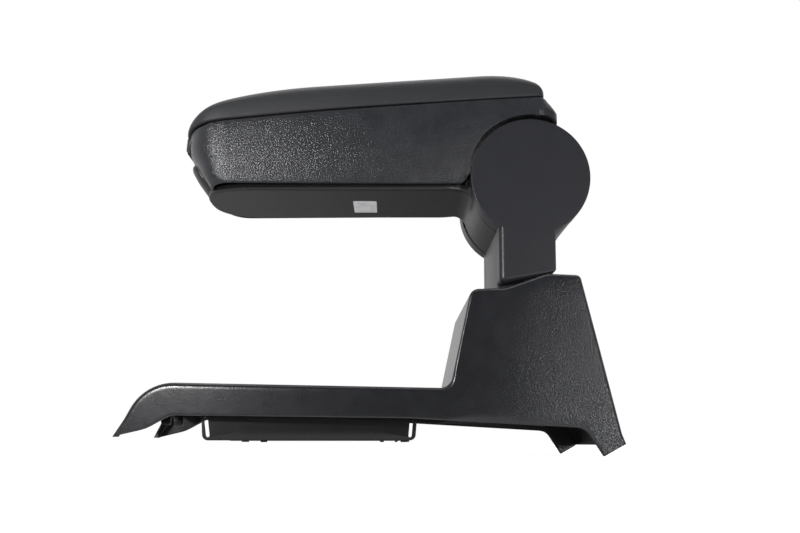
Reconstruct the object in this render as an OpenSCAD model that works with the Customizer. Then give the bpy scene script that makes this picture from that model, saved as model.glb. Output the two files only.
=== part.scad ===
// Car centre armrest: a console cover with an oddments tray, a hollow post,
// and a lidded armrest that folds up about a hub at the top of the post.
// X runs from the front of the car to its rear, Y across, Z up, in millimetres.

/* [Console cover] */
// Length of the console cover, from its front tips to its rear edge
console_len = 418; // [404:1:440]
// Width of the console cover at its rear
console_rear_w = 130; // [122:1:140]
// Width of the console cover at its front tips
console_front_w = 100; // [98:1:112]
// Wall of the console cover
console_wall = 3; // [2.5:0.1:3.5]
// Height of the deck at its nose
deck_h = 60; // [58:0.5:66]
// Fall of the deck from its nose to the pedestal
deck_fall = 5.7; // [3:0.1:8]
// Length of the sloped nose ahead of the deck
nose_run = 29; // [24:1:34]
// Radius of the bend from the nose to the deck
nose_r = 45; // [30:1:48]
// Height of the front tips above the floor
tip_h = 15.5; // [12:0.5:18]
// Depth of the notch between the front tips
notch_run = 19; // [14:1:24]
// Height of the side skirts' lower edge at mid length
skirt_h = 30; // [27:0.5:33]
// Rounding of the cover's upright rear edges
rear_edge_r = 7; // [4:0.5:10]

/* [Pedestal] */
// Distance from the pedestal's foot to the cover's rear edge
pedestal_len = 140; // [136:1:146]
// Height of the pedestal's top at its front
pedestal_front_h = 134.3; // [128:0.5:138]
// Height of the pedestal's top at its rear
pedestal_rear_h = 146.2; // [142:0.5:150]
// Lean of the pedestal's front wall
pedestal_front_lean = 15.6; // [12:0.2:18]
// Lean of the pedestal's rear wall
pedestal_rear_lean = 36.3; // [33:0.5:40]
// Width of the foot of each rear wing
wing_foot = 17.3; // [15:0.5:20]
// Height of the rear wall's lower edge above the floor
wing_drop = 8.7; // [6:0.5:12]

/* [Oddments tray] */
// Length of the tray frame under the deck
tray_len = 183; // [170:1:190]
// Width over the tray frame's side plates
tray_w = 78; // [70:1:80]
// Distance from the front tips to the tray frame
tray_setback = 69; // [66:1:74]
// Height of the tray frame's underside above the floor
tray_floor_h = 13.5; // [13:0.5:18]
// Wall of the tray and of its frame
tray_wall = 2.2; // [1.8:0.1:2.6]
// Width of the upright slots in the side plates
tray_slot_w = 3.2; // [2.6:0.1:3.6]
// Thickness of the tray mat
mat_t = 1.5; // [1:0.1:2]

/* [Post and hub] */
// Distance from the fold axis to the cover's rear edge
axis_setback = 72; // [69:0.5:75]
// Height of the fold axis above the floor
axis_h = 231; // [226:1:240]
// Radius of the hub covers
hub_r = 49.2; // [47:0.2:51]
// Width over both hub covers
hub_w = 92; // [88:1:96]
// Depth of each hub cover
cover_depth = 14; // [13:0.5:15]
// Length of the post's section, from front to rear
post_len = 45.4; // [43:0.2:48]
// Offset of the post ahead of the fold axis
post_offset = 2; // [0:0.5:3]
// Gap between the post covers and the pedestal's top
post_gap = 6; // [5:0.5:8]
// Wall of the post covers and of the post sleeve
post_wall = 2.5; // [2:0.1:3]
// Thickness of the steel bracket
steel_t = 3; // [2.5:0.1:3.2]
// Height of the bracket's base above the floor
bracket_h = 30; // [26:1:36]
// Hole spacing of the bracket's base along the car
base_hole_x = 46; // [40:1:48]
// Hole spacing of the bracket's base across the car
base_hole_y = 46; // [40:1:48]
// Diameter of the bracket's fixing holes
base_hole_d = 6.6; // [5.5:0.1:9]
// Diameter of the pivot bolt
bolt_d = 10; // [8:0.5:12]

/* [Armrest casing] */
// Distance from the fold axis to the front of the armrest casing
casing_reach = 297; // [285:1:310]
// Width of the casing at the lid seam
casing_w = 96; // [94:0.5:100]
// Width of the casing at its lower edge
casing_foot_w = 79; // [76:0.5:82]
// Wall of the armrest casing
casing_wall = 2.8; // [2.4:0.1:3.2]
// Depth of the casing's underside below the fold axis
casing_drop = 3; // [1:0.5:5]
// Height of the lid seam above the fold axis, at the hinge
seam_rise = 69.2; // [68:0.2:74]
// Slope of the lid seam at the hinge
seam_slope = 0.0506; // [0.04:0.002:0.06]
// Distance from the fold axis back to the lid hinge
hinge_back = 13.3; // [12:0.1:15]
// Gap between the hub and the armrest casing
hub_gap = 3.5; // [3:0.1:4.5]
// Height of the armrest bin's floor above the casing's underside
bin_lift = 12.5; // [12:0.5:16]
// Wall of the armrest bin
bin_wall = 2; // [1.6:0.1:2.4]
// Half width of the barrel that the armrest turns on
barrel_half = 31.2; // [30.6:0.1:31.4]

/* [Lid] */
// Overhang of the lid's nose beyond the casing
lid_overhang = 3; // [2:0.5:4]
// Height of the lid's crown above the fold axis
lid_crown = 91; // [88:0.5:94]
// Thickness of the lid's moulded base
lid_base_t = 3.5; // [3:0.1:4]
// Radius of the lid's hinge knuckles
knuckle_r = 3.8; // [3.4:0.1:4.2]
// Diameter of the lid's hinge pin
hinge_pin_d = 3.5; // [3:0.1:4]
// Width of the latch button
button_w = 24; // [20:1:28]
// Travel of the latch button
button_travel = 3.5; // [3:0.1:4]

/* [Clearances] */
// Gap along the lid seam
seam_gap = 0.8; // [0.6:0.1:1.2]
// Gap round pieces that are pushed or screwed together
fit_gap = 0.3; // [0.2:0.05:0.4]
// Radial running clearance of shafts and pins
run_gap = 0.05; // [0.02:0.01:0.1]

/* [Hidden] */

// Finish colours
GRAINED = "#3d3e40";
SATIN = "#37383a";
SMOOTH = "#484a4c";
SOFT = "#3b3d3e";
GLOSSY = "#17181a";
STEEL = "#9a9da0";
RUBBER = "#232426";
NYLON = "#c9c8c2";
FELT = "#2b2c2e";

// Points along each rounded corner
ARC = 6;
// Stations along a curved seam
STATIONS = 24;
// Reach of cutting bodies past the piece that they cut
OVER = 60;
// Short overlap of a cut with open space
EPS = 0.5;
// Gap between faces that rest on each other
SEAT = 0.05;

// Places that the whole part hangs on
front_x = -console_len / 2;
rear_x = console_len / 2;
axis_x = rear_x - axis_setback;
post_x = axis_x - post_offset;
hub_half = hub_w / 2;
core_half = hub_half - cover_depth;

// Point on a path a, b, c where corner b is rounded by radius r
function round_corner(a, b, c, r) =
  let (
    u = (a - b) / norm(a - b),
    v = (c - b) / norm(c - b),
    half = acos(max(-1, min(1, u * v))) / 2
  )
  (r <= 0 || half > 89.5) ? [b] :
  let (
    t = min(r / tan(half), 0.48 * min(norm(a - b), norm(c - b))),
    rad = t * tan(half),
    o = b + (u + v) / norm(u + v) * rad / sin(half),
    p = b + u * t,
    q = b + v * t,
    from = atan2(p[1] - o[1], p[0] - o[0]),
    to = atan2(q[1] - o[1], q[0] - o[0]),
    sweep = (to - from + 540) % 360 - 180
  )
  [for (i = [0:ARC]) o + rad * [cos(from + sweep * i / ARC), sin(from + sweep * i / ARC)]];

// Closed outline through corners [x, y, radius]
function outline(c) = [
  for (i = [0:len(c) - 1])
    let (n = len(c), a = c[(i + n - 1) % n], b = c[i], d = c[(i + 1) % n])
    each round_corner([a[0], a[1]], [b[0], b[1]], [d[0], d[1]], b[2])
];

// Side outline (x, z) carried across a width that is centred on y
module across(width, y = 0) {
  translate([0, y + width / 2, 0]) rotate([90, 0, 0]) linear_extrude(width) children();
}

// Plan outline (x, y) carried up from z0
module rising(z0, height) {
  translate([0, 0, z0]) linear_extrude(height) children();
}

// Cross outline (y, z) carried back from x0
module backward(x0, length) {
  translate([x0, 0, 0]) rotate([90, 0, 90]) linear_extrude(length) children();
}

// Cylinder along Y between two distances from the middle
module shaft(r, y0, y1, x = axis_x, z = axis_h) {
  translate([x, y1, z]) rotate([90, 0, 0]) cylinder(r = r, h = y1 - y0, $fn = 96);
}

// The same thing on both sides of the middle plane
module both_sides() {
  children();
  mirror([0, 1, 0]) children();
}

// CONSOLE COVER

deck_nose_x = front_x + nose_run;
foot_x = rear_x - pedestal_len;
ped_top_x = foot_x + pedestal_front_lean;
step_lead = 27.5;
step_x = ped_top_x + step_lead;
step_run = 33;
step_crown = 0.5;
rear_top_fall = 1.4;
rear_top_x = rear_x - pedestal_rear_lean;
wing_tip_x = rear_x - wing_foot;
deck_slope = deck_fall / (foot_x - deck_nose_x);

// Bends of the skirts' lower edge, measured from the tips, the pedestal's foot and mid length
wing_arch_run = 14.5;
wing_arch_drop = 7.8;
skirt_rear_lead = 34;
skirt_front_run = 46;
skirt_front_rise = 3.6;
tip_bend_run = 28;
tip_bend_rise = 6;

// Height of the deck's top at x
function deck_z(x) = deck_h - deck_slope * (x - deck_nose_x);

// Height of the pedestal's top at x
function pedestal_z(x) =
  x < step_x ? pedestal_front_h :
  x > step_x + step_run ? pedestal_rear_h :
  pedestal_front_h + (pedestal_rear_h - pedestal_front_h) * (x - step_x) / step_run;

// Side outline of the cover, clockwise from its front tip
cover_outline = outline([
  [front_x, tip_h, 0],
  [deck_nose_x, deck_h, nose_r],
  [foot_x, deck_h - deck_fall, 10],
  [ped_top_x, pedestal_front_h, 8],
  [step_x, pedestal_front_h + step_crown, 20],
  [step_x + step_run, pedestal_rear_h, 20],
  [rear_top_x, pedestal_rear_h - rear_top_fall, 5],
  [rear_x, wing_drop, 0],
  [wing_tip_x, 0, 0],
  [wing_tip_x - wing_arch_run, skirt_h - wing_arch_drop, 10],
  [foot_x - skirt_rear_lead, skirt_h, 30],
  [front_x + skirt_front_run, skirt_h + skirt_front_rise, 6],
  [front_x + tip_bend_run, tip_h + tip_bend_rise, 25]
]);

// Plan outline of the cover
cover_plan = outline([
  [front_x - EPS, -console_front_w / 2, 0],
  [wing_tip_x, -console_rear_w / 2, 0],
  [rear_x + EPS, -console_rear_w / 2, rear_edge_r],
  [rear_x + EPS, console_rear_w / 2, rear_edge_r],
  [wing_tip_x, console_rear_w / 2, 0],
  [front_x - EPS, console_front_w / 2, 0]
]);

// Half width of the post sleeve's collar, which covers the bracket's cheeks
cheek_gap = 1.5;
collar_half = core_half + post_wall + steel_t + cheek_gap;

// Drop of an outline's copy that opens a hollow at its foot
open_drop = 10;

module cover_cavity() {
  intersection() {
    across(console_rear_w) {
      offset(delta = -console_wall) polygon(cover_outline);
      translate([0, -open_drop]) offset(delta = -console_wall) polygon(cover_outline);
    }
    rising(-OVER, pedestal_rear_h + 2 * OVER) offset(delta = -console_wall) polygon(cover_plan);
  }
}

notch_x = front_x + notch_run;
notch_half = console_front_w / 2 - 15;
notch_lead = 10;
notch_flare = 6;

// Round notch between the two front tips
module cover_notch() {
  rising(-EPS, deck_h + OVER)
    polygon(outline([
      [front_x - notch_lead, -notch_half - notch_flare, 0],
      [notch_x, -notch_half, 14],
      [notch_x, notch_half, 14],
      [front_x - notch_lead, notch_half + notch_flare, 0]
    ]));
}

prong_x = front_x + 30.5;
prong_w = 8;
prong_t = 3;
prong_y = 16;
prong_low_z = tip_h + 10.5;

// Locating prong that hangs from the nose's underside
module cover_prong() {
  intersection() {
    across(prong_t, prong_y) polygon([
      [prong_x - prong_w / 2 - 1.5, deck_h],
      [prong_x - prong_w / 2, prong_low_z + 1.5],
      [prong_x - prong_w / 2 + 2, prong_low_z],
      [prong_x + prong_w / 2, prong_low_z],
      [prong_x + prong_w / 2 + 1.5, deck_h]
    ]);
    across(console_front_w) {
      polygon(cover_outline);
      translate([0, -2 * open_drop]) polygon(cover_outline);
    }
  }
}

rib_t = 2.5;
rib_x = rear_top_x - 4;
rib_depth = 5;
rib_out = console_rear_w / 2 - console_wall + EPS;

// Upright rib that stiffens a rear wing from inside
module wing_rib() {
  intersection() {
    across(console_rear_w) polygon(cover_outline);
    translate([rib_x, rib_out - rib_depth, 0]) cube([rib_t, rib_depth, pedestal_front_h / 2]);
  }
}

module console_cover() {
  color(GRAINED) {
    difference() {
      intersection() {
        across(console_rear_w) polygon(cover_outline);
        rising(-EPS, pedestal_rear_h + OVER) polygon(cover_plan);
      }
      cover_cavity();
      cover_notch();
      // tray opening in the deck
      rising(skirt_h, OVER) tray_plan(fit_gap);
      // post opening in the pedestal's top
      rising(deck_h, pedestal_rear_h) collar_plan(fit_gap);
    }
    both_sides() {
      cover_prong();
      wing_rib();
    }
  }
}

// ODDMENTS TRAY

tray_x0 = front_x + tray_setback;
tray_x1 = tray_x0 + tray_len;
tray_half = tray_w / 2;
tray_corner_r = 4;
tray_lift = 2;
tray_bend_z = skirt_h + 3.5;
tray_taper_front = 5;
tray_taper_rear = 6.5;
tray_lip = 4.5;
tray_bin_inset = 8;
lip_t = 1.5;

// Plan outline of the tray frame, grown by g
module tray_plan(g) {
  polygon(outline([
    [tray_x0 - g, -tray_half - g, tray_corner_r],
    [tray_x1 + g, -tray_half - g, tray_corner_r],
    [tray_x1 + g, tray_half + g, tray_corner_r],
    [tray_x0 - g, tray_half + g, tray_corner_r]
  ]));
}

// Side outline of the frame below the deck
module tray_side() {
  polygon(outline([
    [tray_x0, 2 * deck_h, 0],
    [tray_x0, tray_bend_z, 0],
    [tray_x0 + tray_taper_front, tray_floor_h, tray_corner_r],
    [tray_x1 - tray_taper_rear, tray_floor_h, tray_corner_r],
    [tray_x1, tray_bend_z, 0],
    [tray_x1, 2 * deck_h, 0]
  ]));
}

// Band above the deck's slope, between two heights
module deck_band(low, high) {
  x0 = tray_x0 - 20;
  x1 = tray_x1 + 20;
  polygon([
    [x0, deck_z(x0) + low], [x1, deck_z(x1) + low],
    [x1, deck_z(x1) + high], [x0, deck_z(x0) + high]
  ]);
}

slot_rise = 5;
slot_reach = 6;

// Upright slot with round ends that leans with the frame's end
module tray_slot(foot_x, lean) {
  low = tray_floor_h + slot_rise;
  high = tray_bend_z + slot_reach;
  across(tray_w + 2) polygon(outline([
    [foot_x - tray_slot_w / 2, low, tray_slot_w / 2],
    [foot_x + tray_slot_w / 2, low, tray_slot_w / 2],
    [foot_x + tray_slot_w / 2 + lean, high, tray_slot_w / 2],
    [foot_x - tray_slot_w / 2 + lean, high, tray_slot_w / 2]
  ]));
}

// Rest pads under each side plate: distance from the frame's front, and length
frame_pads = [[34, 9], [148, 12], [168.5, 7]];
pad_drop = 1;

module tray_frame() {
  color(GLOSSY) {
    both_sides() for (pad = frame_pads)
      translate([tray_x0 + pad[0] - pad[1] / 2, tray_half - tray_wall, tray_floor_h - pad_drop])
        cube([pad[1], tray_wall, pad_drop + EPS]);
    difference() {
      union() {
        // walls that hang through the deck
        intersection() {
          across(tray_w) intersection() {
            tray_side();
            translate([0, -OVER]) deck_band(-OVER, OVER + lip_t);
          }
          rising(0, 2 * deck_h) tray_plan(0);
        }
        // lip that lies on the deck
        intersection() {
          across(tray_w + 2 * tray_lip) deck_band(SEAT, lip_t);
          rising(0, 2 * deck_h) tray_plan(tray_lip);
        }
      }
      // room for the tray between the side plates
      rising(0, 2 * deck_h) tray_plan(-tray_wall);
      // open ends below the deck
      translate([tray_x0 - EPS, -tray_half + tray_wall, 0])
        cube([tray_len + 2 * EPS, tray_w - 2 * tray_wall, tray_bend_z + 1]);
      tray_slot(tray_x0 + tray_taper_front, -tray_taper_front);
      tray_slot(tray_x1 - tray_taper_rear, tray_taper_rear);
    }
  }
}

// Plan outline of the bin, inset by g
module bin_plan(g) {
  x0 = tray_x0 + tray_bin_inset + g;
  x1 = tray_x1 - tray_bin_inset - g;
  h = tray_half - tray_wall - fit_gap - g;
  r = tray_corner_r + 2;
  polygon(outline([[x0, -h, r], [x1, -h, r], [x1, h, r], [x0, h, r]]));
}

module oddments_tray() {
  color(GLOSSY) difference() {
    union() {
      rising(tray_floor_h + tray_lift, deck_h - tray_floor_h) bin_plan(0);
      intersection() {
        across(tray_w) deck_band(lip_t + SEAT, 2 * lip_t);
        rising(0, 2 * deck_h) tray_plan(-EPS);
      }
    }
    rising(tray_floor_h + tray_lift + tray_wall, 2 * deck_h) bin_plan(tray_wall);
    // top trimmed along the deck's slope
    across(tray_w + 2) deck_band(2 * lip_t, OVER);
  }
}

module tray_mat() {
  color(RUBBER) rising(tray_floor_h + tray_lift + tray_wall, mat_t) bin_plan(tray_wall + fit_gap);
}

// POST

cover_low_z = pedestal_z(post_x - post_len / 2) + post_gap;
cover_low_rear_z = pedestal_z(post_x + post_len / 2) + post_gap;
cover_foot_low = min(cover_low_z, cover_low_rear_z);
cover_foot_high = max(cover_low_z, cover_low_rear_z);
sleeve_depth = 36;
sleeve_low_z = pedestal_front_h - sleeve_depth;
cover_edge = 1.5;
cover_bevel = 1;
head_r = 30;
plate_in = core_half + 1;
plate_out = plate_in + steel_t;
plate_len = post_len - 2 * post_wall - 5;
peg_r = 3;
peg_rise = 12;
peg_spread = 17;
peg_lift = 16;
saddle_gap = 0.1;
core_gap = 0.2;

// Plan outline of the sleeve's collar, grown by g
module collar_plan(g) {
  x0 = post_x - post_len / 2 - g;
  x1 = post_x + post_len / 2 + g;
  h = collar_half + g;
  polygon(outline([[x0, -h, 3], [x1, -h, 3], [x1, h, 3], [x0, h, 3]]));
}

// Side outline of a post cover: a disc on a stem, inset by g
module lollipop(g) {
  translate([axis_x, axis_h]) circle(r = hub_r - g, $fn = 128);
  polygon([
    [post_x - post_len / 2 + g, cover_low_z + g],
    [post_x + post_len / 2 - g, cover_low_rear_z + g],
    [post_x + post_len / 2 - g, axis_h],
    [post_x - post_len / 2 + g, axis_h]
  ]);
}

// Places of the cover's pegs in the bracket
peg_places = [
  [post_x, cover_low_rear_z + peg_rise],
  [axis_x - peg_spread, axis_h + peg_lift],
  [axis_x + peg_spread, axis_h + peg_lift]
];

// Slab of a cover's outline from the core out to a depth, inset by g
module cover_slab(depth, g) {
  across(depth, -core_half - depth / 2) lollipop(g);
}

module post_cover() {
  difference() {
    // rounded outer edge in two steps of the moulding
    union() {
      cover_slab(cover_depth - cover_edge, 0);
      cover_slab(cover_depth, cover_bevel);
    }
    // hollow that is open towards the core
    translate([0, EPS, 0]) cover_slab(cover_depth - post_wall + EPS, post_wall);
    // slot in the cover's foot for the bracket's cheek
    translate([post_x - plate_len / 2 - fit_gap, -plate_out - fit_gap, cover_foot_low - 1])
      cube([
        plate_len + 2 * fit_gap, steel_t + 2 * fit_gap,
        cover_foot_high - cover_foot_low + post_wall + 3
      ]);
  }
  for (p = peg_places) shaft(peg_r, -(hub_half - post_wall + EPS), -(plate_in + EPS), p[0], p[1]);
}

module left_post_cover() {
  color(SATIN) post_cover();
}

module right_post_cover() {
  color(SATIN) mirror([0, 1, 0]) post_cover();
}

module post_sleeve() {
  saddle_r = hub_r + saddle_gap;
  color(SATIN) difference() {
    union() {
      // core between the covers
      translate([post_x - post_len / 2, -core_half + core_gap, sleeve_low_z])
        cube([post_len, 2 * (core_half - core_gap), axis_h - sleeve_low_z]);
      // collar in the pedestal's opening
      intersection() {
        rising(sleeve_low_z, 2 * sleeve_depth) collar_plan(0);
        across(2 * collar_half + 2) polygon([
          [post_x - post_len, sleeve_low_z],
          [post_x + post_len, sleeve_low_z],
          [post_x + post_len, cover_low_rear_z - fit_gap],
          [post_x + post_len / 2, cover_low_rear_z - fit_gap],
          [post_x - post_len / 2, cover_low_z - fit_gap],
          [post_x - post_len, cover_low_z - fit_gap]
        ]);
      }
    }
    // saddle round the armrest's barrel
    shaft(saddle_r, -OVER, OVER);
    // hollow core, closed under the saddle
    difference() {
      translate([post_x - post_len / 2 + post_wall, -core_half + post_wall, sleeve_low_z - 1])
        cube([post_len - 2 * post_wall, 2 * (core_half - post_wall), axis_h]);
      shaft(saddle_r + post_wall, -OVER, OVER);
    }
    // slots for the bracket's cheeks
    both_sides() translate([post_x - plate_len / 2 - fit_gap, plate_in - fit_gap, sleeve_low_z - 1])
      cube([plate_len + 2 * fit_gap, steel_t + 2 * fit_gap, 90]);
  }
}

// BRACKET AND PIVOT

base_margin = 9;
base_len = base_hole_x + 2 * base_margin;
base_half = plate_out + 6;
gusset_run = 8;
gusset_h = 30;
peg_gap = 0.1;

module post_bracket() {
  color(STEEL) difference() {
    union() {
      // base
      translate([post_x - base_len / 2, -base_half, bracket_h]) cube([base_len, 2 * base_half, steel_t]);
      // cheeks
      both_sides() across(steel_t, (plate_in + plate_out) / 2) {
        translate([axis_x, axis_h]) circle(r = head_r, $fn = 96);
        polygon([
          [post_x - plate_len / 2 - gusset_run, bracket_h],
          [post_x + plate_len / 2 + gusset_run, bracket_h],
          [post_x + plate_len / 2, bracket_h + gusset_h],
          [post_x + plate_len / 2, axis_h],
          [post_x - plate_len / 2, axis_h],
          [post_x - plate_len / 2, bracket_h + gusset_h]
        ]);
      }
      // web behind, below the sleeve
      translate([post_x + plate_len / 2 - steel_t, -plate_in - EPS, bracket_h])
        cube([steel_t, 2 * (plate_in + EPS), sleeve_low_z - fit_gap - bracket_h]);
    }
    // pivot bore
    shaft(bolt_d / 2 + run_gap, -OVER, OVER);
    // peg holes
    for (p = peg_places) shaft(peg_r + peg_gap, -OVER, OVER, p[0], p[1]);
    // fixing holes
    for (x = [-1, 1], y = [-1, 1])
      translate([post_x + x * base_hole_x / 2, y * base_hole_y / 2, bracket_h - 1])
        cylinder(d = base_hole_d, h = steel_t + 2, $fn = 48);
  }
}

washer_t = 1.2;
nut_t = bolt_d * 0.42;
nut_af = bolt_d * 1.6;

module pivot_bolt() {
  head_y = -(plate_out + washer_t);
  color(STEEL) {
    shaft(bolt_d / 2, head_y - EPS, plate_out + washer_t + nut_t);
    translate([axis_x, head_y, axis_h]) rotate([90, 0, 0])
      cylinder(d = nut_af / cos(30), h = nut_t, $fn = 6);
  }
}

module pivot_nut() {
  color(STEEL) difference() {
    translate([axis_x, plate_out + washer_t + nut_t, axis_h]) rotate([90, 0, 0])
      cylinder(d = nut_af / cos(30), h = nut_t, $fn = 6);
    shaft(bolt_d / 2 + run_gap, 0, OVER);
  }
}

module pivot_washers() {
  color(STEEL) both_sides() difference() {
    shaft(bolt_d, plate_out, plate_out + washer_t);
    shaft(bolt_d / 2 + run_gap, 0, OVER);
  }
}

// ARMREST

casing_front_x = axis_x - casing_reach;
hinge_x = axis_x + hinge_back;
hinge_rise = 2;
seam_h = axis_h + seam_rise;
hinge_z = seam_h + hinge_rise;
seam_bow = 0.0000868;
dip_x = casing_front_x + 55;
dip = 0.003;
foot_z = axis_h - casing_drop;
bin_z = foot_z + bin_lift;
nose_plan_run = 42;
nose_power = 2.6;
tail_plan_x = hinge_x - 12;
tail_plan_run = 14;
tail_plan_drop = 5;
arch_r = hub_r + hub_gap;
rear_tip_x = axis_x + 23.8;

// Height of the lid seam at x
function seam_z(x) =
  seam_h - seam_slope * (hinge_x - x) - seam_bow * pow(hinge_x - x, 2)
  - dip * pow(max(0, dip_x - x), 2);

// Half width in plan at x of a body whose nose is at nose_x
function plan_half(x, nose_x, half) =
  let (
    t = max(0, min(1, (nose_x + nose_plan_run - x) / nose_plan_run)),
    s = max(0, min(1, (x - tail_plan_x) / tail_plan_run))
  )
  half * pow(max(0, 1 - pow(t, nose_power)), 1 / nose_power) - tail_plan_drop * (1 - sqrt(1 - s * s));

// Plan outline with a blunt round nose, inset by g
module pod_plan(nose_x, half, tail_x, g = 0) {
  n = 14;
  xs = [
    for (i = [0:n]) nose_x + g + nose_plan_run * (1 - cos(90 * i / n)),
    tail_plan_x,
    for (i = [1:5]) tail_plan_x + tail_plan_run * sin(90 * i / 5)
  ];
  side = [for (x = xs) if (x <= tail_x) [x, plan_half(x - g, nose_x, half) - g]];
  near = [for (p = side) if (p[1] > 0) p];
  tail = [[tail_x, plan_half(tail_x, nose_x, half) - g]];
  upper = concat(near, tail);
  polygon(concat(upper, [for (i = [len(upper) - 1:-1:0]) [upper[i][0], -upper[i][1]]]));
}

// Everything below the lid seam, raised by d
module below_seam(d) {
  x0 = casing_front_x - 20;
  x1 = axis_x + 60;
  polygon(concat(
    [for (i = [0:STATIONS]) let (x = x0 + (x1 - x0) * i / STATIONS) [x, seam_z(x) + d]],
    [[x1, foot_z - 80], [x0, foot_z - 80]]
  ));
}

// Band along the lid seam between two heights
module seam_band(low, high) {
  difference() {
    below_seam(high);
    below_seam(low);
  }
}

// Side outline of the casing, inset by g
module casing_side(g = 0) {
  offset(delta = -g) polygon(outline([
    [casing_front_x, seam_h + 20, 0],
    [casing_front_x, foot_z + 22, 18],
    [casing_front_x + 13, foot_z, 14],
    [axis_x - 60, foot_z + 1, 0],
    [axis_x - 48, foot_z + 2, 0],
    [axis_x, axis_h, 0],
    [rear_tip_x, axis_h + 30, 0],
    [rear_tip_x, seam_h - 14.5, 6],
    [hinge_x + 0.5, seam_h, 0],
    [hinge_x + 0.5, seam_h + 20, 0]
  ]));
}

// Cross outline of the casing, inset by g
module casing_cross(g = 0) {
  run = seam_h - foot_z;
  rise = 30;
  top = casing_w / 2 - g + (casing_w - casing_foot_w) / 2 * rise / run;
  low = casing_foot_w / 2 - g;
  polygon(outline([
    [-low, foot_z - EPS, 2.5], [low, foot_z - EPS, 2.5],
    [top, seam_h + rise, 0], [-top, seam_h + rise, 0]
  ]));
}

// Body of the casing as an intersection of its three outlines, inset by g
module casing_body(g = 0, open_low = 0) {
  intersection() {
    across(casing_w + 20) {
      casing_side(g);
      translate([0, -open_low]) casing_side(g);
    }
    rising(foot_z - 40, 160) pod_plan(casing_front_x, casing_w / 2, axis_x + 40, g);
    backward(casing_front_x - 10, 400) {
      casing_cross(g);
      translate([0, -open_low]) casing_cross(g);
    }
  }
}

// Drop of the casing hollow's copy that leaves its foot open
open_foot = 8;

// Latch: striker behind the casing's nose and hook that hangs from the lid
striker_x = casing_front_x + 7;
striker_z = seam_z(casing_front_x) - 4.5;
striker_t = 1.4;
striker_lip = 2.6;
nose_clear = 1;
hook_front_x = striker_x + striker_t + striker_lip + nose_clear;
shank_x = hook_front_x + 2;
shank_t = 2;
hook_half = 6;

ledge_low = -6;
ledge_high = -3.5;
ledge_w = 2.2;
boss_half = 9;
boss_drop = 9;
boss_rise = 5;
tab_z = foot_z + 6;
tab_t = 3;
tab_x = [casing_front_x + 50, axis_x - 82];
tab_y = 30.5;
tab_half = 6;
screw_r = 1.6;
screw_gap = 0.1;
post_r = 3.4;
frame_post_r = 4;
ledge_front_x = shank_x + shank_t + button_travel + 0.8;
bin_front_x = ledge_front_x + 2.5;
bin_rear_x = axis_x - 58;

// Half width of the casing's inside at height z
function inside_half(z) =
  casing_foot_w / 2 - casing_wall
  + (z - foot_z) * (casing_w - casing_foot_w) / 2 / (seam_h - foot_z);

// Places of the hinge's knuckles across the car, and their half lengths
knuckle_pitch = 12;
knuckle_half = (knuckle_pitch - fit_gap) / 2;
knuckle_room = 0.4;
lug_wall = 0.6;
pin_half = 3 * knuckle_pitch - 0.2;
lid_knuckle_y = [-1.5 * knuckle_pitch, 1.5 * knuckle_pitch];
casing_lug_y = [-2.5 * knuckle_pitch, -0.5 * knuckle_pitch, 0.5 * knuckle_pitch, 2.5 * knuckle_pitch];

module casing_lugs() {
  for (y = casing_lug_y) {
    shaft(knuckle_r, y - knuckle_half, y + knuckle_half, hinge_x, hinge_z);
    translate([hinge_x - 2 * lug_wall, y - knuckle_half, hinge_z - knuckle_pitch])
      cube([knuckle_r + lug_wall, 2 * knuckle_half, knuckle_pitch]);
  }
}

module upper_casing() {
  color(GRAINED) difference() {
    union() {
      difference() {
        intersection() {
          casing_body();
          across(casing_w + 20) below_seam(-seam_gap / 2);
        }
        // hollow inside, with a wall left round the hub
        difference() {
          casing_body(casing_wall, open_foot);
          shaft(arch_r + casing_wall, -OVER, OVER);
          // ledge that carries the bin's flange
          difference() {
            across(casing_w) intersection() {
              seam_band(ledge_low, ledge_high);
              translate([ledge_front_x, 0]) square([bin_rear_x - ledge_front_x + 4, 2 * axis_h]);
            }
            casing_body(casing_wall + ledge_w, open_foot);
          }
          // tabs for the screws of the lower casing
          for (x = tab_x) both_sides()
            translate([x - tab_half, tab_y - 4, tab_z]) cube([2 * tab_half, casing_w / 4, tab_t]);
          // flat boss behind the nose for the striker
          translate([casing_front_x, -boss_half, striker_z - boss_drop])
            cube([striker_x - casing_front_x, 2 * boss_half, boss_drop + boss_rise]);
        }
      }
      // end lugs and middle lug of the lid hinge
      intersection() {
        casing_lugs();
        across(casing_w) translate([hinge_x - 6, seam_h - 11]) square(OVER);
      }
    }
    // room for the hub
    shaft(arch_r, -OVER, OVER);
    // window for the steel frame
    translate([axis_x - arch_r - 12, -window_half, foot_z - 10]) cube([40, 2 * window_half, 26]);
    // lower edge left open for the lower casing
    rising(foot_z - 5, 5 + lip_h)
      pod_plan(floor_front_x - floor_gap, floor_half + floor_gap, axis_x - 52);
    // room between the lugs for the lid's knuckles
    for (y = lid_knuckle_y)
      let (reach = knuckle_half + fit_gap)
      shaft(knuckle_r + knuckle_room, y - reach, y + reach, hinge_x, hinge_z);
    // screw holes in the tabs
    for (x = tab_x) both_sides() translate([x, tab_y, tab_z - 1])
      cylinder(r = screw_r + screw_gap, h = tab_t + 2, $fn = 32);
    // hinge pin bore
    shaft(hinge_pin_d / 2 + run_gap, -OVER, OVER, hinge_x, hinge_z);
  }
}

floor_t = 2.5;
lip_h = 5.6;
floor_front_x = casing_front_x + 14;
floor_gap = 0.4;
floor_half = casing_foot_w / 2 - casing_wall - floor_gap;
frame_t = 2;
frame_z = foot_z + 6;
frame_half = 21;
window_half = frame_half + 4;
frame_front_x = axis_x - 190;
frame_screw_x = [frame_front_x + 12, axis_x - 75];
frame_screw_y = 13;
barrel_r = hub_r - 0.7;
barrel_wall = 3;

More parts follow.
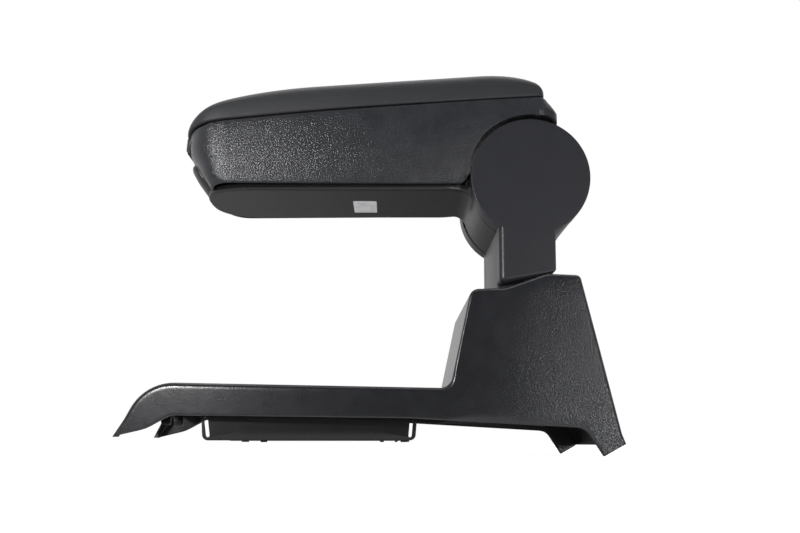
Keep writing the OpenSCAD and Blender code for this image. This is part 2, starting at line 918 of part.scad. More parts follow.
module lower_casing() {
  fillet_r = 10;
  reach = barrel_r + fillet_r;
  fillet_dz = casing_drop + fillet_r;
  fillet_x = axis_x - sqrt(reach * reach - fillet_dz * fillet_dz);
  color(SMOOTH) difference() {
    union() {
      // floor
      difference() {
        intersection() {
          translate([casing_front_x, -OVER, foot_z])
            cube([axis_x - barrel_r + barrel_wall - casing_front_x, 2 * OVER, floor_t]);
          rising(foot_z - 1, 20) pod_plan(floor_front_x, floor_half, axis_x);
        }
        both_sides() shaft(arch_r - 2, barrel_half + run_gap, OVER);
      }
      // upstanding lip inside the upper casing
      difference() {
        intersection() {
          rising(foot_z, lip_h) pod_plan(floor_front_x, floor_half, axis_x);
          translate([casing_front_x, -OVER, foot_z])
            cube([axis_x - 60 - casing_front_x, 2 * OVER, lip_h]);
        }
        rising(foot_z - 1, 20) pod_plan(floor_front_x, floor_half, axis_x, ledge_w);
        shaft(arch_r + casing_wall + EPS, -OVER, OVER);
      }
      // posts for the screws
      for (x = tab_x) both_sides() translate([x, tab_y, foot_z + 1])
        cylinder(r = post_r, h = tab_z - foot_z - 1, $fn = 32);
      for (x = frame_screw_x) both_sides() translate([x, frame_screw_y, foot_z + 1])
        cylinder(r = frame_post_r, h = frame_z - foot_z - 1, $fn = 32);
      // barrel that turns between the hub covers, and the round blend under it
      shaft(barrel_r, -barrel_half, barrel_half);
      across(2 * barrel_half) difference() {
        polygon([
          [fillet_x, foot_z + floor_t], [fillet_x, foot_z - fillet_r],
          [axis_x + (fillet_x - axis_x) * barrel_r / reach, axis_h - fillet_dz * barrel_r / reach],
          [axis_x - barrel_r + 6, foot_z + floor_t]
        ]);
        translate([fillet_x, foot_z - fillet_r]) circle(r = fillet_r, $fn = 64);
      }
    }
    // hollow barrel
    shaft(barrel_r - barrel_wall, -OVER, OVER);
    // window for the steel frame
    translate([axis_x - barrel_r - 2, -frame_half - 1, frame_z - 1])
      cube([30, 2 * frame_half + 2, 24]);
    // screw bores
    for (p = concat([for (x = tab_x) [x, tab_y]], [for (x = frame_screw_x) [x, frame_screw_y]]))
      both_sides() translate([p[0], p[1], foot_z + 1.2]) cylinder(r = screw_r, h = 20, $fn = 32);
  }
}

bush_wall = 1.7;
bush_len = 12;
bush_gap = 0.15;
tube_wall = 1.8;
tube_r = bolt_d / 2 + bush_wall + tube_wall;
bush_flange_t = plate_in - barrel_half + 0.9;
tube_half = plate_in - bush_gap - bush_flange_t;
ear_t = 2.5;
ear_rim = 5.5;

module arm_frame() {
  color(STEEL) difference() {
    union() {
      // plate under the bin
      translate([frame_front_x, -frame_half, frame_z])
        cube([axis_x - 12 - frame_front_x, 2 * frame_half, frame_t]);
      // ears on the hub tube
      both_sides() across(ear_t, frame_half - ear_t / 2) {
        translate([axis_x, axis_h]) circle(r = tube_r + ear_rim, $fn = 64);
        polygon([
          [bin_rear_x - 12, frame_z], [axis_x - barrel_r + barrel_wall + 3, frame_z],
          [axis_x - 12, frame_z - 3], [axis_x, axis_h - 8], [axis_x, axis_h + 12],
          [axis_x - 24, frame_z + 11], [bin_rear_x + 1, frame_z + 5], [bin_rear_x - 12, frame_z + 5]
        ]);
      }
    }
    // tube seat
    shaft(tube_r + run_gap, -OVER, OVER);
    for (x = frame_screw_x) both_sides() translate([x, frame_screw_y, frame_z - 1])
      cylinder(r = screw_r + 2 * screw_gap, h = frame_t + 2, $fn = 32);
  }
}

module hub_tube() {
  color(STEEL) difference() {
    shaft(tube_r, -tube_half, tube_half);
    shaft(tube_r - tube_wall, -OVER, OVER);
  }
}

module hub_bushes() {
  color(NYLON) both_sides() difference() {
    union() {
      shaft(tube_r - tube_wall - 0.02, tube_half - bush_len, tube_half + EPS);
      shaft(tube_r + 3, tube_half + 0.02, plate_in - bush_gap);
    }
    shaft(bolt_d / 2 + run_gap, 0, OVER);
  }
}

// Pan-head screw with its head's underside at z
module pan_screw(x, y, z, length) {
  translate([x, y, z]) {
    cylinder(r = screw_r * 1.9, h = 2, $fn = 32);
    translate([0, 0, -length]) cylinder(r = screw_r - 0.03, h = length + EPS, $fn = 32);
  }
}

module casing_screws() {
  color(STEEL) for (x = tab_x) both_sides() pan_screw(x, tab_y, tab_z + tab_t, tab_t + 4);
}

module frame_screws() {
  color(STEEL) for (x = frame_screw_x) both_sides()
    pan_screw(x, frame_screw_y, frame_z + frame_t, frame_t + 4);
}

bin_slack = casing_wall + ledge_w + fit_gap;
bin_lean = 4;
flange_high = ledge_high + 2;

module armrest_bin() {
  color(SMOOTH) difference() {
    union() {
      // tub
      intersection() {
        casing_body(bin_slack, 0);
        across(casing_w) intersection() {
          below_seam(flange_high);
          polygon([
            [bin_front_x, seam_h], [bin_front_x + bin_lean, bin_z],
            [bin_rear_x, bin_z], [bin_rear_x, seam_h + 10]
          ]);
        }
      }
      // flange on the casing's ledge
      intersection() {
        casing_body(casing_wall + fit_gap, 0);
        across(casing_w) intersection() {
          seam_band(ledge_high + SEAT, flange_high);
          translate([ledge_front_x, 0]) square([bin_rear_x - ledge_front_x + 3, 2 * axis_h]);
        }
      }
    }
    // inside of the bin
    intersection() {
      casing_body(bin_slack + bin_wall, 0);
      across(casing_w) polygon([
        [bin_front_x + bin_wall, seam_h + 10], [bin_front_x + bin_lean + bin_wall, bin_z + bin_wall],
        [bin_rear_x - bin_wall, bin_z + bin_wall], [bin_rear_x - bin_wall, seam_h + 20]
      ]);
    }
  }
}

module bin_mat() {
  color(FELT) intersection() {
    casing_body(bin_slack + bin_wall + 1, 0);
    translate([bin_front_x + 2 * bin_lean, -OVER, bin_z + bin_wall])
      cube([bin_rear_x - bin_front_x - 3 * bin_lean, 2 * OVER, mat_t]);
  }
}

// LID

lid_front_x = casing_front_x - lid_overhang;
lid_half = casing_w / 2;
lid_tail_x = hinge_x - 0.5;
crown_x = axis_x - 49;
crown_slope = 0.0665;
nose_fade = 68;
nose_fall = 32;
tail_fade = 55;
tail_fall = 22;

// Height of the lid's top along its middle
function lid_top(x) =
  let (
    t = max(0, min(1, (lid_front_x + nose_fade - x) / nose_fade)),
    s = max(0, min(1, (x - lid_tail_x + tail_fade) / tail_fade))
  )
  axis_h + lid_crown + crown_slope * (x - crown_x)
  - nose_fall * (1 - sqrt(1 - t * t)) - tail_fall * (1 - sqrt(1 - s * s));

// Points over the lid's crown, and the power that squares its section
SECTION = 20;
section_power = 0.5;

// Section of the lid at x as points over its crown
function lid_section(x) =
  let (
    half = max(2, plan_half(x, lid_front_x, lid_half)),
    low = seam_z(x) + seam_gap / 2,
    rise = lid_top(x) - low
  )
  [
    for (i = [0:SECTION])
      let (a = 180 * i / SECTION, c = cos(a), s = sin(a))
      [x, -half * sign(c) * pow(abs(c), section_power), low + rise * pow(s, section_power)]
  ];

// Places of the sections, close together over the round nose and tail
nose_run_lid = 60;
tail_run_lid = 45;
lid_start_x = lid_front_x + 0.2;
lid_stations = [
  for (i = [0:9]) lid_start_x + nose_run_lid * (1 - cos(90 * i / 9)),
  for (i = [1:8])
    let (from = lid_start_x + nose_run_lid, to = lid_tail_x - tail_run_lid)
    from + (to - from) * i / 8,
  for (i = [1:7]) lid_tail_x - tail_run_lid * (1 - sin(90 * i / 7))
];

module lid_form() {
  n = SECTION + 1;
  m = len(lid_stations);
  points = [for (x = lid_stations) each lid_section(x)];
  skin = [
    for (k = [0:m - 2], i = [0:SECTION])
      let (j = (i + 1) % n)
      each [
        [k * n + i, (k + 1) * n + i, k * n + j],
        [k * n + j, (k + 1) * n + i, (k + 1) * n + j]
      ]
  ];
  first = [for (i = [1:SECTION - 1]) [0, i, i + 1]];
  last = [for (i = [1:SECTION - 1]) [(m - 1) * n, (m - 1) * n + i + 1, (m - 1) * n + i]];
  polyhedron(points, concat(skin, first, last));
}

lid_inset = 3;
button_x = lid_front_x - 2.4;
housing_wall = 1.5;
housing_half = button_w / 2 + housing_wall + 1.1;
housing_x0 = lid_front_x + 2;
housing_x1 = shank_x + shank_t + button_travel + 2.5;
button_top = seam_z(lid_front_x) + 17;
housing_top = button_top + 2;
button_low = 3;
button_rear_x = lid_front_x + 13;

module lid_base() {
  color(SMOOTH) difference() {
    union() {
      intersection() {
        across(casing_w) seam_band(seam_gap / 2, seam_gap / 2 + lid_base_t);
        rising(foot_z, 160) pod_plan(lid_front_x, lid_half, hinge_x - knuckle_r - 0.8, lid_inset);
      }
      for (y = lid_knuckle_y) {
        shaft(knuckle_r, y - knuckle_half, y + knuckle_half, hinge_x, hinge_z);
        translate([hinge_x - knuckle_r - 3, y - knuckle_half, hinge_z - 1.4])
          cube([knuckle_r + 3, 2 * knuckle_half, 2.8]);
      }
    }
    // room for the latch housing
    translate([lid_front_x - 5, -housing_half - SEAT, foot_z])
      cube([housing_x1 - lid_front_x + 5 + SEAT, 2 * (housing_half + SEAT), 2 * seam_rise]);
    shaft(hinge_pin_d / 2 + run_gap, -OVER, OVER, hinge_x, hinge_z);
  }
}

module lid_pad() {
  color(SOFT) difference() {
    lid_form();
    // pocket for the moulded base
    intersection() {
      across(casing_w) seam_band(-2, seam_gap / 2 + lid_base_t + SEAT / 2);
      rising(foot_z, 160) pod_plan(lid_front_x, lid_half, hinge_x + 10, lid_inset - 2 * SEAT);
    }
    // pocket for the latch housing
    translate([lid_front_x - 5, -housing_half - 2 * SEAT, foot_z])
      cube([
        housing_x1 - lid_front_x + 5 + 2 * SEAT, 2 * housing_half + 4 * SEAT,
        housing_top + 4 * SEAT - foot_z
      ]);
    // pocket round the hinge
    shaft(knuckle_r + EPS, -pin_half - 1, pin_half + 1, hinge_x, hinge_z);
  }
}

lining_t = 1.2;
lining_inset = 10.5;

module lid_lining() {
  color(FELT) intersection() {
    across(casing_w) seam_band(seam_gap / 2 - lining_t, seam_gap / 2 - SEAT / 2);
    rising(foot_z, 2 * seam_rise) pod_plan(housing_x1 + 1.5, lid_half - lining_inset, bin_rear_x, 0);
  }
}

// Side strip that runs parallel to the seam between two places
module seam_strip(x0, x1, low, high) {
  polygon([
    [x0, seam_z(x0) + low], [x1, seam_z(x1) + low],
    [x1, seam_z(x1) + high], [x0, seam_z(x0) + high]
  ]);
}

module latch_housing() {
  guide_x = housing_x1 - housing_wall;
  color(SATIN) difference() {
    across(2 * housing_half) polygon([
      [housing_x0, seam_z(housing_x0) + seam_gap / 2], [housing_x1, seam_z(housing_x1) + seam_gap / 2],
      [housing_x1, housing_top], [housing_x0 + 1, housing_top]
    ]);
    // guide of the button
    across(button_w + 2 * fit_gap) polygon([
      [button_x + button_travel, seam_z(button_x) + button_low - fit_gap],
      [button_rear_x + button_travel, seam_z(button_rear_x) + button_low - fit_gap],
      [guide_x, seam_z(guide_x - button_travel) + button_low - fit_gap],
      [guide_x, button_top + fit_gap],
      [button_x, button_top + fit_gap]
    ]);
    // slot for the hook and its travel
    translate([hook_front_x - 1, -hook_half - 0.5, foot_z])
      cube([guide_x - hook_front_x + 1, 2 * hook_half + 1, seam_h - foot_z - 10]);
  }
}

module latch_button() {
  wall = 1.8;
  front_low = seam_z(button_x) + button_low;
  rear_low = seam_z(button_rear_x) + button_low;
  color(SATIN) difference() {
    across(button_w) polygon(outline([
      [button_x, front_low, 1.5],
      [button_rear_x, rear_low, 0],
      [button_rear_x, button_top, 0],
      [button_x + 1.5, button_top, 2.5]
    ]));
    across(button_w - 2 * wall) polygon([
      [button_x + 2 * wall, front_low + wall],
      [button_rear_x + 1, rear_low + wall],
      [button_rear_x + 1, button_top - wall],
      [button_x + 2 * wall, button_top - wall]
    ]);
  }
}

module latch_hook() {
  nose_z = striker_z - fit_gap;
  nose_t = 3;
  tongue_t = 1.8;
  tongue_top = button_low + 2 * tongue_t;
  rear_x = shank_x + shank_t;
  color(STEEL) across(2 * hook_half) {
    // tongue inside the button
    seam_strip(button_x + 2 * tongue_t, rear_x, button_low + tongue_t, tongue_top);
    // shank and nose
    polygon([
      [shank_x, nose_z - nose_t],
      [rear_x, nose_z - nose_t],
      [rear_x, seam_z(rear_x) + tongue_top],
      [shank_x, seam_z(shank_x) + tongue_top - 0.6]
    ]);
    polygon([
      [hook_front_x, nose_z],
      [hook_front_x + 0.6, nose_z - nose_t],
      [shank_x + 1, nose_z - nose_t],
      [shank_x + 1, nose_z]
    ]);
  }
}

striker_half = 8;

module striker_plate() {
  color(STEEL) across(2 * striker_half) {
    translate([striker_x, striker_z - striker_half]) square([striker_t, striker_half + striker_t]);
    translate([striker_x, striker_z]) square([striker_t + striker_lip, striker_t]);
  }
}

module lid_hinge_pin() {
  color(STEEL) shaft(hinge_pin_d / 2, -pin_half, pin_half, hinge_x, hinge_z);
}

bumper_r = 1.6;
bumper_t = 0.9;
bumper_x = bin_front_x + (bin_rear_x - bin_front_x) / 4;

// Round stops on the bin's flange, one a side
module lid_bumpers() {
  low = seam_z(bumper_x) + flange_high + fit_gap / 2;
  color(RUBBER) both_sides() translate([bumper_x, inside_half(low) - 2 * bumper_r, low])
    cylinder(r = bumper_r, h = bumper_t, $fn = 32);
}

console_cover();
tray_frame();
oddments_tray();
tray_mat();
post_bracket();
post_sleeve();
left_post_cover();
right_post_cover();
pivot_bolt();
pivot_nut();
pivot_washers();
upper_casing();
lower_casing();
armrest_bin();
bin_mat();
arm_frame();
hub_tube();
hub_bushes();
casing_screws();
frame_screws();
striker_plate();
lid_hinge_pin();
lid_bumpers();
lid_base();
lid_pad();
lid_lining();
latch_housing();
latch_button();
latch_hook();
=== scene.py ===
"""Car centre armrest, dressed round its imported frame.

X runs from the front of the car to its rear, Y across it and Z up. The sizes in the classes are
in millimetres unless their comment says metres, and turn into metres where Blender gets them.
"""
import logging
import math
from collections.abc import Callable
from dataclasses import dataclass, field
from enum import Enum

import bmesh
import bpy
import numpy as np
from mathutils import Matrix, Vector


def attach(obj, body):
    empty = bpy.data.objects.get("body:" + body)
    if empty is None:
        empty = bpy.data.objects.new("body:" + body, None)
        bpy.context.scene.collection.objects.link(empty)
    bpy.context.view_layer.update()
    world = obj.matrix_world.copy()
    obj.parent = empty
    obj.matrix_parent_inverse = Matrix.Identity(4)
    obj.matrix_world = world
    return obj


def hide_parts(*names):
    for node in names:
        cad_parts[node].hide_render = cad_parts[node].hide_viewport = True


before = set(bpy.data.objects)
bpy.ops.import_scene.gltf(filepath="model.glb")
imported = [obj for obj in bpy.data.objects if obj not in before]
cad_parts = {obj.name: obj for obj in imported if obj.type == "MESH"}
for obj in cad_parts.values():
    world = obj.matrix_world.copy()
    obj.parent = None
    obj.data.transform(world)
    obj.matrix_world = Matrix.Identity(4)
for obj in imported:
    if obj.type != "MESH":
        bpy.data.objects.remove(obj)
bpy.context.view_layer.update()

MM = 0.001
WELD = 0.002 * MM
WHITE = (1.0, 1.0, 1.0, 1.0)
log = logging.getLogger("armrest")


class Body(Enum):
    """Moving bodies of the part."""

    BASE = "base"
    ARMREST = "armrest"
    LID = "lid"
    LATCH = "latch"


# Shader signals


class Signal:
    """A shader socket, or a plain number, that arithmetic turns into Math nodes."""

    def __init__(self, shader: "Shader", value: "bpy.types.NodeSocket | float") -> None:
        """Keeps the tree that new nodes go into and the socket or number."""
        self.shader = shader
        self.value = value

    def _math(self, operation: str, first: "Signal | float", second: "Signal | float") -> "Signal":
        """Adds one Math node.

        Args:
            operation: Blender's name of the operation.
            first: left operand.
            second: right operand.

        Returns:
            The node's result.
        """
        node = self.shader.node("ShaderNodeMath", {"operation": operation}, {0: first, 1: second})
        return Signal(self.shader, node.outputs[0])

    def __add__(self, other: "Signal | float") -> "Signal":
        """Sum."""
        return self._math("ADD", self, other)

    def __radd__(self, other: float) -> "Signal":
        """Sum with a number on the left."""
        return self._math("ADD", other, self)

    def __sub__(self, other: "Signal | float") -> "Signal":
        """Difference."""
        return self._math("SUBTRACT", self, other)

    def __rsub__(self, other: float) -> "Signal":
        """Difference from a number on the left."""
        return self._math("SUBTRACT", other, self)

    def __mul__(self, other: "Signal | float") -> "Signal":
        """Product."""
        return self._math("MULTIPLY", self, other)

    def __rmul__(self, other: float) -> "Signal":
        """Product with a number on the left."""
        return self._math("MULTIPLY", other, self)

    def between(self, low: float, high: float) -> "Signal":
        """Rises from 0 at low to 1 at high, smoothly and clamped.

        Args:
            low: value that gives 0.
            high: value that gives 1.

        Returns:
            The remapped signal.
        """
        settings = {"interpolation_type": "SMOOTHSTEP"}
        inputs = {"Value": self, 1: low, 2: high, 3: 0.0, 4: 1.0}
        return self.shader.signal(self.shader.node("ShaderNodeMapRange", settings, inputs))


class Shader:
    """Node tree of one material or world, with one way to make each node."""

    def __init__(self, tree: bpy.types.NodeTree) -> None:
        """Empties the tree."""
        self.tree = tree
        tree.nodes.clear()

    def node(self, kind: str, settings: dict | None = None, inputs: dict | None = None) -> bpy.types.Node:
        """Makes a node, sets it up and then fills its sockets.

        Args:
            kind: Blender's type name.
            settings: the node's own properties.
            inputs: values, signals or sockets by the input's name or number.

        Returns:
            The new node.
        """
        made = self.tree.nodes.new(kind)
        for name, value in (settings or {}).items():
            setattr(made, name, value)
        for key, value in (inputs or {}).items():
            self.feed(made.inputs[key], value)
        return made

    def feed(self, socket: bpy.types.NodeSocket, value: object) -> None:
        """Sets a socket to a value, or links it to a signal or another socket.

        Args:
            socket: the input to fill.
            value: a number, a tuple, a signal or an output socket.
        """
        if isinstance(value, Signal):
            value = value.value
        if isinstance(value, bpy.types.NodeSocket):
            self.tree.links.new(value, socket)
        else:
            socket.default_value = value

    def signal(self, node: bpy.types.Node, output: "str | int" = 0) -> Signal:
        """One output of a node as a signal."""
        return Signal(self, node.outputs[output])

    def place(self) -> bpy.types.NodeSocket:
        """The point on the surface in the object's own coordinates."""
        return self.node("ShaderNodeTexCoord").outputs["Object"]

    def noise(self, size: float, detail: float = 3.0, roughness: float = 0.5) -> Signal:
        """Smooth noise whose blotches are about size millimetres across."""
        inputs = {"Vector": self.place(), "Scale": 1 / (size * MM), "Detail": detail, "Roughness": roughness}
        return self.signal(self.node("ShaderNodeTexNoise", None, inputs))

    def cells(self, size: float, feature: str = "F1") -> Signal:
        """Distance inside Voronoi cells that are about size millimetres across."""
        inputs = {"Vector": self.place(), "Scale": 1.0 / (size * MM), "Randomness": 1.0}
        return self.signal(self.node("ShaderNodeTexVoronoi", {"feature": feature}, inputs), "Distance")

    def tint(self, amount: Signal, dark: tuple, light: tuple) -> bpy.types.NodeSocket:
        """Colour between dark and light.

        Args:
            amount: 0 for dark and 1 for light.
            dark: linear colour.
            light: linear colour.

        Returns:
            The mixed colour's socket.
        """
        inputs = {"Factor": amount, 6: (*dark, 1.0), 7: (*light, 1.0)}
        return self.node("ShaderNodeMix", {"data_type": "RGBA"}, inputs).outputs[2]

    def bump(self, height: Signal, depth: float) -> bpy.types.NodeSocket:
        """Normal from a height of 0 to 1 that stands for depth millimetres."""
        inputs = {"Height": height, "Distance": depth * MM, "Strength": 1.0}
        return self.node("ShaderNodeBump", None, inputs).outputs["Normal"]


# Finishes


@dataclass(frozen=True)
class Finish:
    """A surface finish: what every kind of finish shares."""

    name: str
    colour: tuple
    roughness: float

    def material(self) -> bpy.types.Material:
        """Makes the finish's material, once.

        Returns:
            The material.
        """
        label = f"{self.name}_finish"
        found = bpy.data.materials.get(label)
        if found:
            return found
        made = bpy.data.materials.new(label)
        made.use_nodes = True
        shader = Shader(made.node_tree)
        surface = shader.node("ShaderNodeBsdfPrincipled", None, {"Roughness": self.roughness})
        self.paint(shader, surface)
        shader.node("ShaderNodeOutputMaterial", None, {"Surface": surface.outputs[0]})
        made.diffuse_color = (*self.colour, 1.0)
        return made

    def paint(self, shader: Shader, surface: bpy.types.Node) -> None:
        """Fills the surface's sockets. Each kind of finish has its own.

        Args:
            shader: the material's tree.
            surface: its Principled node.
        """
        raise NotImplementedError

    def feed_colour(
        self, shader: Shader, surface: bpy.types.Node, amount: Signal, low: float, high: float,
    ) -> None:
        """Feeds the base colour.

        Args:
            shader: the material's tree.
            surface: its Principled node.
            amount: 0 for the finish's colour times low, and 1 for it times high.
            low: the darker factor.
            high: the lighter factor.
        """
        dark, light = (tuple(channel * factor for channel in self.colour) for factor in (low, high))
        shader.feed(surface.inputs["Base Color"], shader.tint(amount, dark, light))


@dataclass(frozen=True)
class MouldedPlastic(Finish):
    """Moulded plastic with a pebble grain, or a satin or gloss surface where the grain is slight.

    Attributes:
        cell: width of a pebble, in millimetres.
        depth: depth of the grain, in millimetres.
        mottle_and_valley_shade: how far the colour varies, as a share of it: blotches, and painted shade in
            the valleys.
        spread: how far the roughness varies.
        grain_fade_and_front_shade: X in metres between which the grain grows from faint to full, or nothing.
            Where the grain
        is faint the colour is darker: painted shade.
    """

    cell: float = 1.1
    depth: float = 0.06
    mottle_and_valley_shade: float = 0.12
    spread: float = 0.08
    grain_fade_and_front_shade: tuple = ()

    def paint(self, shader: Shader, surface: bpy.types.Node) -> None:
        """Pebbles are rounded cells of two sizes; valleys are rougher and painted darker, as shade.

        Args:
            shader: the material's tree.
            surface: its Principled node.
        """
        pebbles = shader.cells(self.cell)
        small = shader.cells(self.cell * 0.47)
        ripple = shader.noise(self.cell * 3.1, 2.0)
        height = 1 - (pebbles * 0.6 + small * 0.4) + ripple * 0.2
        # Towards the front of the car the grain grows faint and the colour darker: painted shade over the
        # front of the deck.
        if self.grain_fade_and_front_shade:
            along = shader.signal(shader.node("ShaderNodeSeparateXYZ", None, {0: shader.place()}), "X")
            height = height * (0.15 + 0.85 * along.between(*self.grain_fade_and_front_shade))
        blotch = shader.noise(14.0, 4.0, 0.6)
        # Low grain is painted darker than high grain: painted shade in the valleys. The blotches are the
        # plastic's own tone.
        tone = height * 0.5 + blotch * 0.7
        self.feed_colour(shader, surface, tone.between(0.2, 1.0), 1 - self.mottle_and_valley_shade, 1 + self.mottle_and_valley_shade)
        rough = self.roughness + self.spread * (blotch + pebbles - 0.9)
        shader.feed(surface.inputs["Roughness"], rough)
        shader.feed(surface.inputs["Normal"], shader.bump(height, self.depth))


@dataclass(frozen=True)
class SoftSkin(Finish):
    """Soft skin over foam, with a fine leather grain of flat islands between thin creases."""

    cell: float = 1.3
    depth: float = 0.05

    def paint(self, shader: Shader, surface: bpy.types.Node) -> None:
        """Islands come from the distance to the edges of cells of two sizes.

        Args:
            shader: the material's tree.
            surface: its Principled node.
        """
        edges = shader.cells(self.cell, "DISTANCE_TO_EDGE")
        fine = shader.cells(self.cell * 0.5, "DISTANCE_TO_EDGE")
        islands = edges.between(0.0, 0.22) * 0.7 + fine.between(0.0, 0.2) * 0.3
        soft = shader.noise(30.0, 3.0)
        # The creases between the islands are painted darker: painted shade. The slow noise is the skin's own
        # tone.
        tone = islands * 0.6 + soft * 0.5
        self.feed_colour(shader, surface, tone.between(0.1, 1.0), 0.82, 1.12)
        shader.feed(surface.inputs["Roughness"], self.roughness + 0.08 * (soft - 0.5) - 0.05 * islands)
        shader.feed(surface.inputs["Normal"], shader.bump(islands + soft * 0.4, self.depth))


@dataclass(frozen=True)
class Metal(Finish):
    """Zinc-plated steel with a faint streak along one axis and dull spots."""

    streak: tuple = (40.0, 900.0, 900.0)

    def paint(self, shader: Shader, surface: bpy.types.Node) -> None:
        """Streaks are noise that is stretched along X.

        Args:
            shader: the material's tree.
            surface: its Principled node.
        """
        stretch = shader.node("ShaderNodeMapping", None, {"Vector": shader.place(), "Scale": self.streak})
        lines = shader.signal(shader.node(
            "ShaderNodeTexNoise", None, {"Vector": stretch.outputs[0], "Scale": 1.0, "Detail": 2.0}))
        spots = shader.noise(6.0, 4.0)
        surface.inputs["Metallic"].default_value = 1.0
        self.feed_colour(shader, surface, spots, 0.85, 1.1)
        shader.feed(surface.inputs["Roughness"], self.roughness + 0.2 * (lines * 0.6 + spots * 0.4 - 0.5))
        shader.feed(surface.inputs["Normal"], shader.bump(lines, 0.004))


@dataclass(frozen=True)
class Felt(Finish):
    """Short felt: fine fibres over soft lumps."""

    def paint(self, shader: Shader, surface: bpy.types.Node) -> None:
        """Fibres are fine noise, and the nap is a coarser one.

        Args:
            shader: the material's tree.
            surface: its Principled node.
        """
        fibre = shader.noise(0.35, 5.0, 0.75)
        nap = shader.noise(5.0, 3.0)
        tone = fibre * 0.7 + nap * 0.4
        self.feed_colour(shader, surface, tone.between(0.25, 0.85), 0.6, 1.6)
        shader.feed(surface.inputs["Normal"], shader.bump(tone, 0.25))


@dataclass(frozen=True)
class Paper(Finish):
    """Plain adhesive label: pale paper with a faint tooth and a soft grey smudge."""

    def paint(self, shader: Shader, surface: bpy.types.Node) -> None:
        """The smudge is a slow noise, and the tooth a fine one.

        Args:
            shader: the material's tree.
            surface: its Principled node.
        """
        smudge = shader.noise(7.0, 3.0)
        tooth = shader.noise(0.3, 3.0)
        self.feed_colour(shader, surface, smudge.between(0.3, 0.62), 0.82, 1.0)
        shader.feed(surface.inputs["Normal"], shader.bump(tooth, 0.01))


COVER = MouldedPlastic("cover_plastic", (0.0175, 0.018, 0.0215), 0.22, 1.3, 0.25, 0.3, 0.06, (0.03, 0.2))
GRAINED = MouldedPlastic("grained_plastic", (0.0245, 0.0255, 0.029), 0.21, 1.1, 0.22, 0.35, 0.08)
SATIN = MouldedPlastic("satin_plastic", (0.021, 0.0215, 0.026), 0.36, 0.6, 0.004, 0.05, 0.05)
SMOOTH = MouldedPlastic("smooth_plastic", (0.020, 0.0205, 0.021), 0.36, 0.9, 0.008, 0.06, 0.06)
GLOSSY = MouldedPlastic("gloss_plastic", (0.006, 0.006, 0.0075), 0.22, 0.6, 0.003, 0.08, 0.05)
RUBBER = MouldedPlastic("rubber", (0.016, 0.016, 0.017), 0.75, 0.5, 0.03, 0.2, 0.1)
NYLON = MouldedPlastic("nylon", (0.55, 0.54, 0.5), 0.45, 1.4, 0.01, 0.04, 0.05)
SKIN = SoftSkin("soft_skin", (0.021, 0.022, 0.025), 0.5)
STEEL = Metal("steel", (0.45, 0.46, 0.47), 0.32)
FELT = Felt("felt", (0.022, 0.022, 0.024), 0.95)
LABEL = Paper("blank_label", (0.95, 0.95, 0.97), 0.5)


# Shape helpers


def rounded(corners: list, steps: int = 8, closed: bool = False) -> np.ndarray:
    """Path through corners (a, b, radius) in which each corner with a radius becomes an arc.

    The arc touches both legs at radius / tan(half the corner's angle) from the corner, and its
    points turn evenly about the centre on the angle's bisector.

    Args:
        corners: the corners in order.
        steps: parts of each arc.
        closed: whether the last corner joins the first.

    Returns:
        Points, one row each.
    """
    given = np.asarray(corners, float)
    points, radii = given[:, :2], given[:, 2]
    count = len(points)
    path = []
    for i in range(count):
        if not closed and i in (0, count - 1) or radii[i] <= 0:
            path.append(points[i][None])
            continue
        to_last, to_next = points[i - 1] - points[i], points[(i + 1) % count] - points[i]
        reach = 0.48 * min(np.linalg.norm(to_last), np.linalg.norm(to_next))
        u, v = to_last / np.linalg.norm(to_last), to_next / np.linalg.norm(to_next)
        half = math.acos(np.clip(u @ v, -1, 1)) / 2
        touch = min(radii[i] / math.tan(half), reach)
        centre = points[i] + (u + v) / np.linalg.norm(u + v) * touch / math.cos(half)
        start, end = points[i] + u * touch - centre, points[i] + v * touch - centre
        turn = math.atan2(start[0] * end[1] - start[1] * end[0], start @ end)
        angles = np.linspace(0, turn, steps + 1)[:, None]
        across = np.array([-start[1], start[0]])
        path.append(centre + start * np.cos(angles) + across * np.sin(angles))
    return np.concatenate(path)


def run_length(path: np.ndarray) -> np.ndarray:
    """Distance along a path at each of its points."""
    return np.concatenate([[0.0], np.cumsum(np.linalg.norm(np.diff(path, axis=0), axis=1))])


def at_length(path: np.ndarray, distance: np.ndarray) -> np.ndarray:
    """Points of a path at given distances along it."""
    run = run_length(path)
    return np.stack([np.interp(distance, run, path[:, i]) for i in range(path.shape[1])], axis=-1)


def looped(path: np.ndarray) -> np.ndarray:
    """Closed path with its first point repeated at the end."""
    return np.concatenate([path, path[:1]])


def stations(path: np.ndarray, step: float, extra: tuple = ()) -> np.ndarray:
    """Distances at a path's points, at given extra ones, and between them at most a step apart.

    Args:
        path: the path's points.
        step: the largest distance between two stations.
        extra: distances that have to be among them.

    Returns:
        Distances along the path, in order.
    """
    run = np.unique(np.round(np.concatenate([run_length(path), np.asarray(extra, float)]), 4))
    pieces = [np.linspace(a, b, max(1, math.ceil((b - a) / step)) + 1)[:-1] for a, b in zip(run, run[1:])]
    return np.concatenate([*pieces, run[-1:]])


def left_normals(path: np.ndarray, closed: bool = False) -> np.ndarray:
    """Unit normals to the left of a plane path, from the chord between each point's neighbours.

    Args:
        path: the path's points.
        closed: whether the last point joins the first.

    Returns:
        One normal for each point.
    """
    if closed:
        chord = np.roll(path, -1, axis=0) - np.roll(path, 1, axis=0)
    else:
        chord = np.gradient(path, axis=0)
    normal = np.stack([-chord[:, 1], chord[:, 0]], axis=-1)
    return normal / np.maximum(np.linalg.norm(normal, axis=1, keepdims=True), 1e-9)


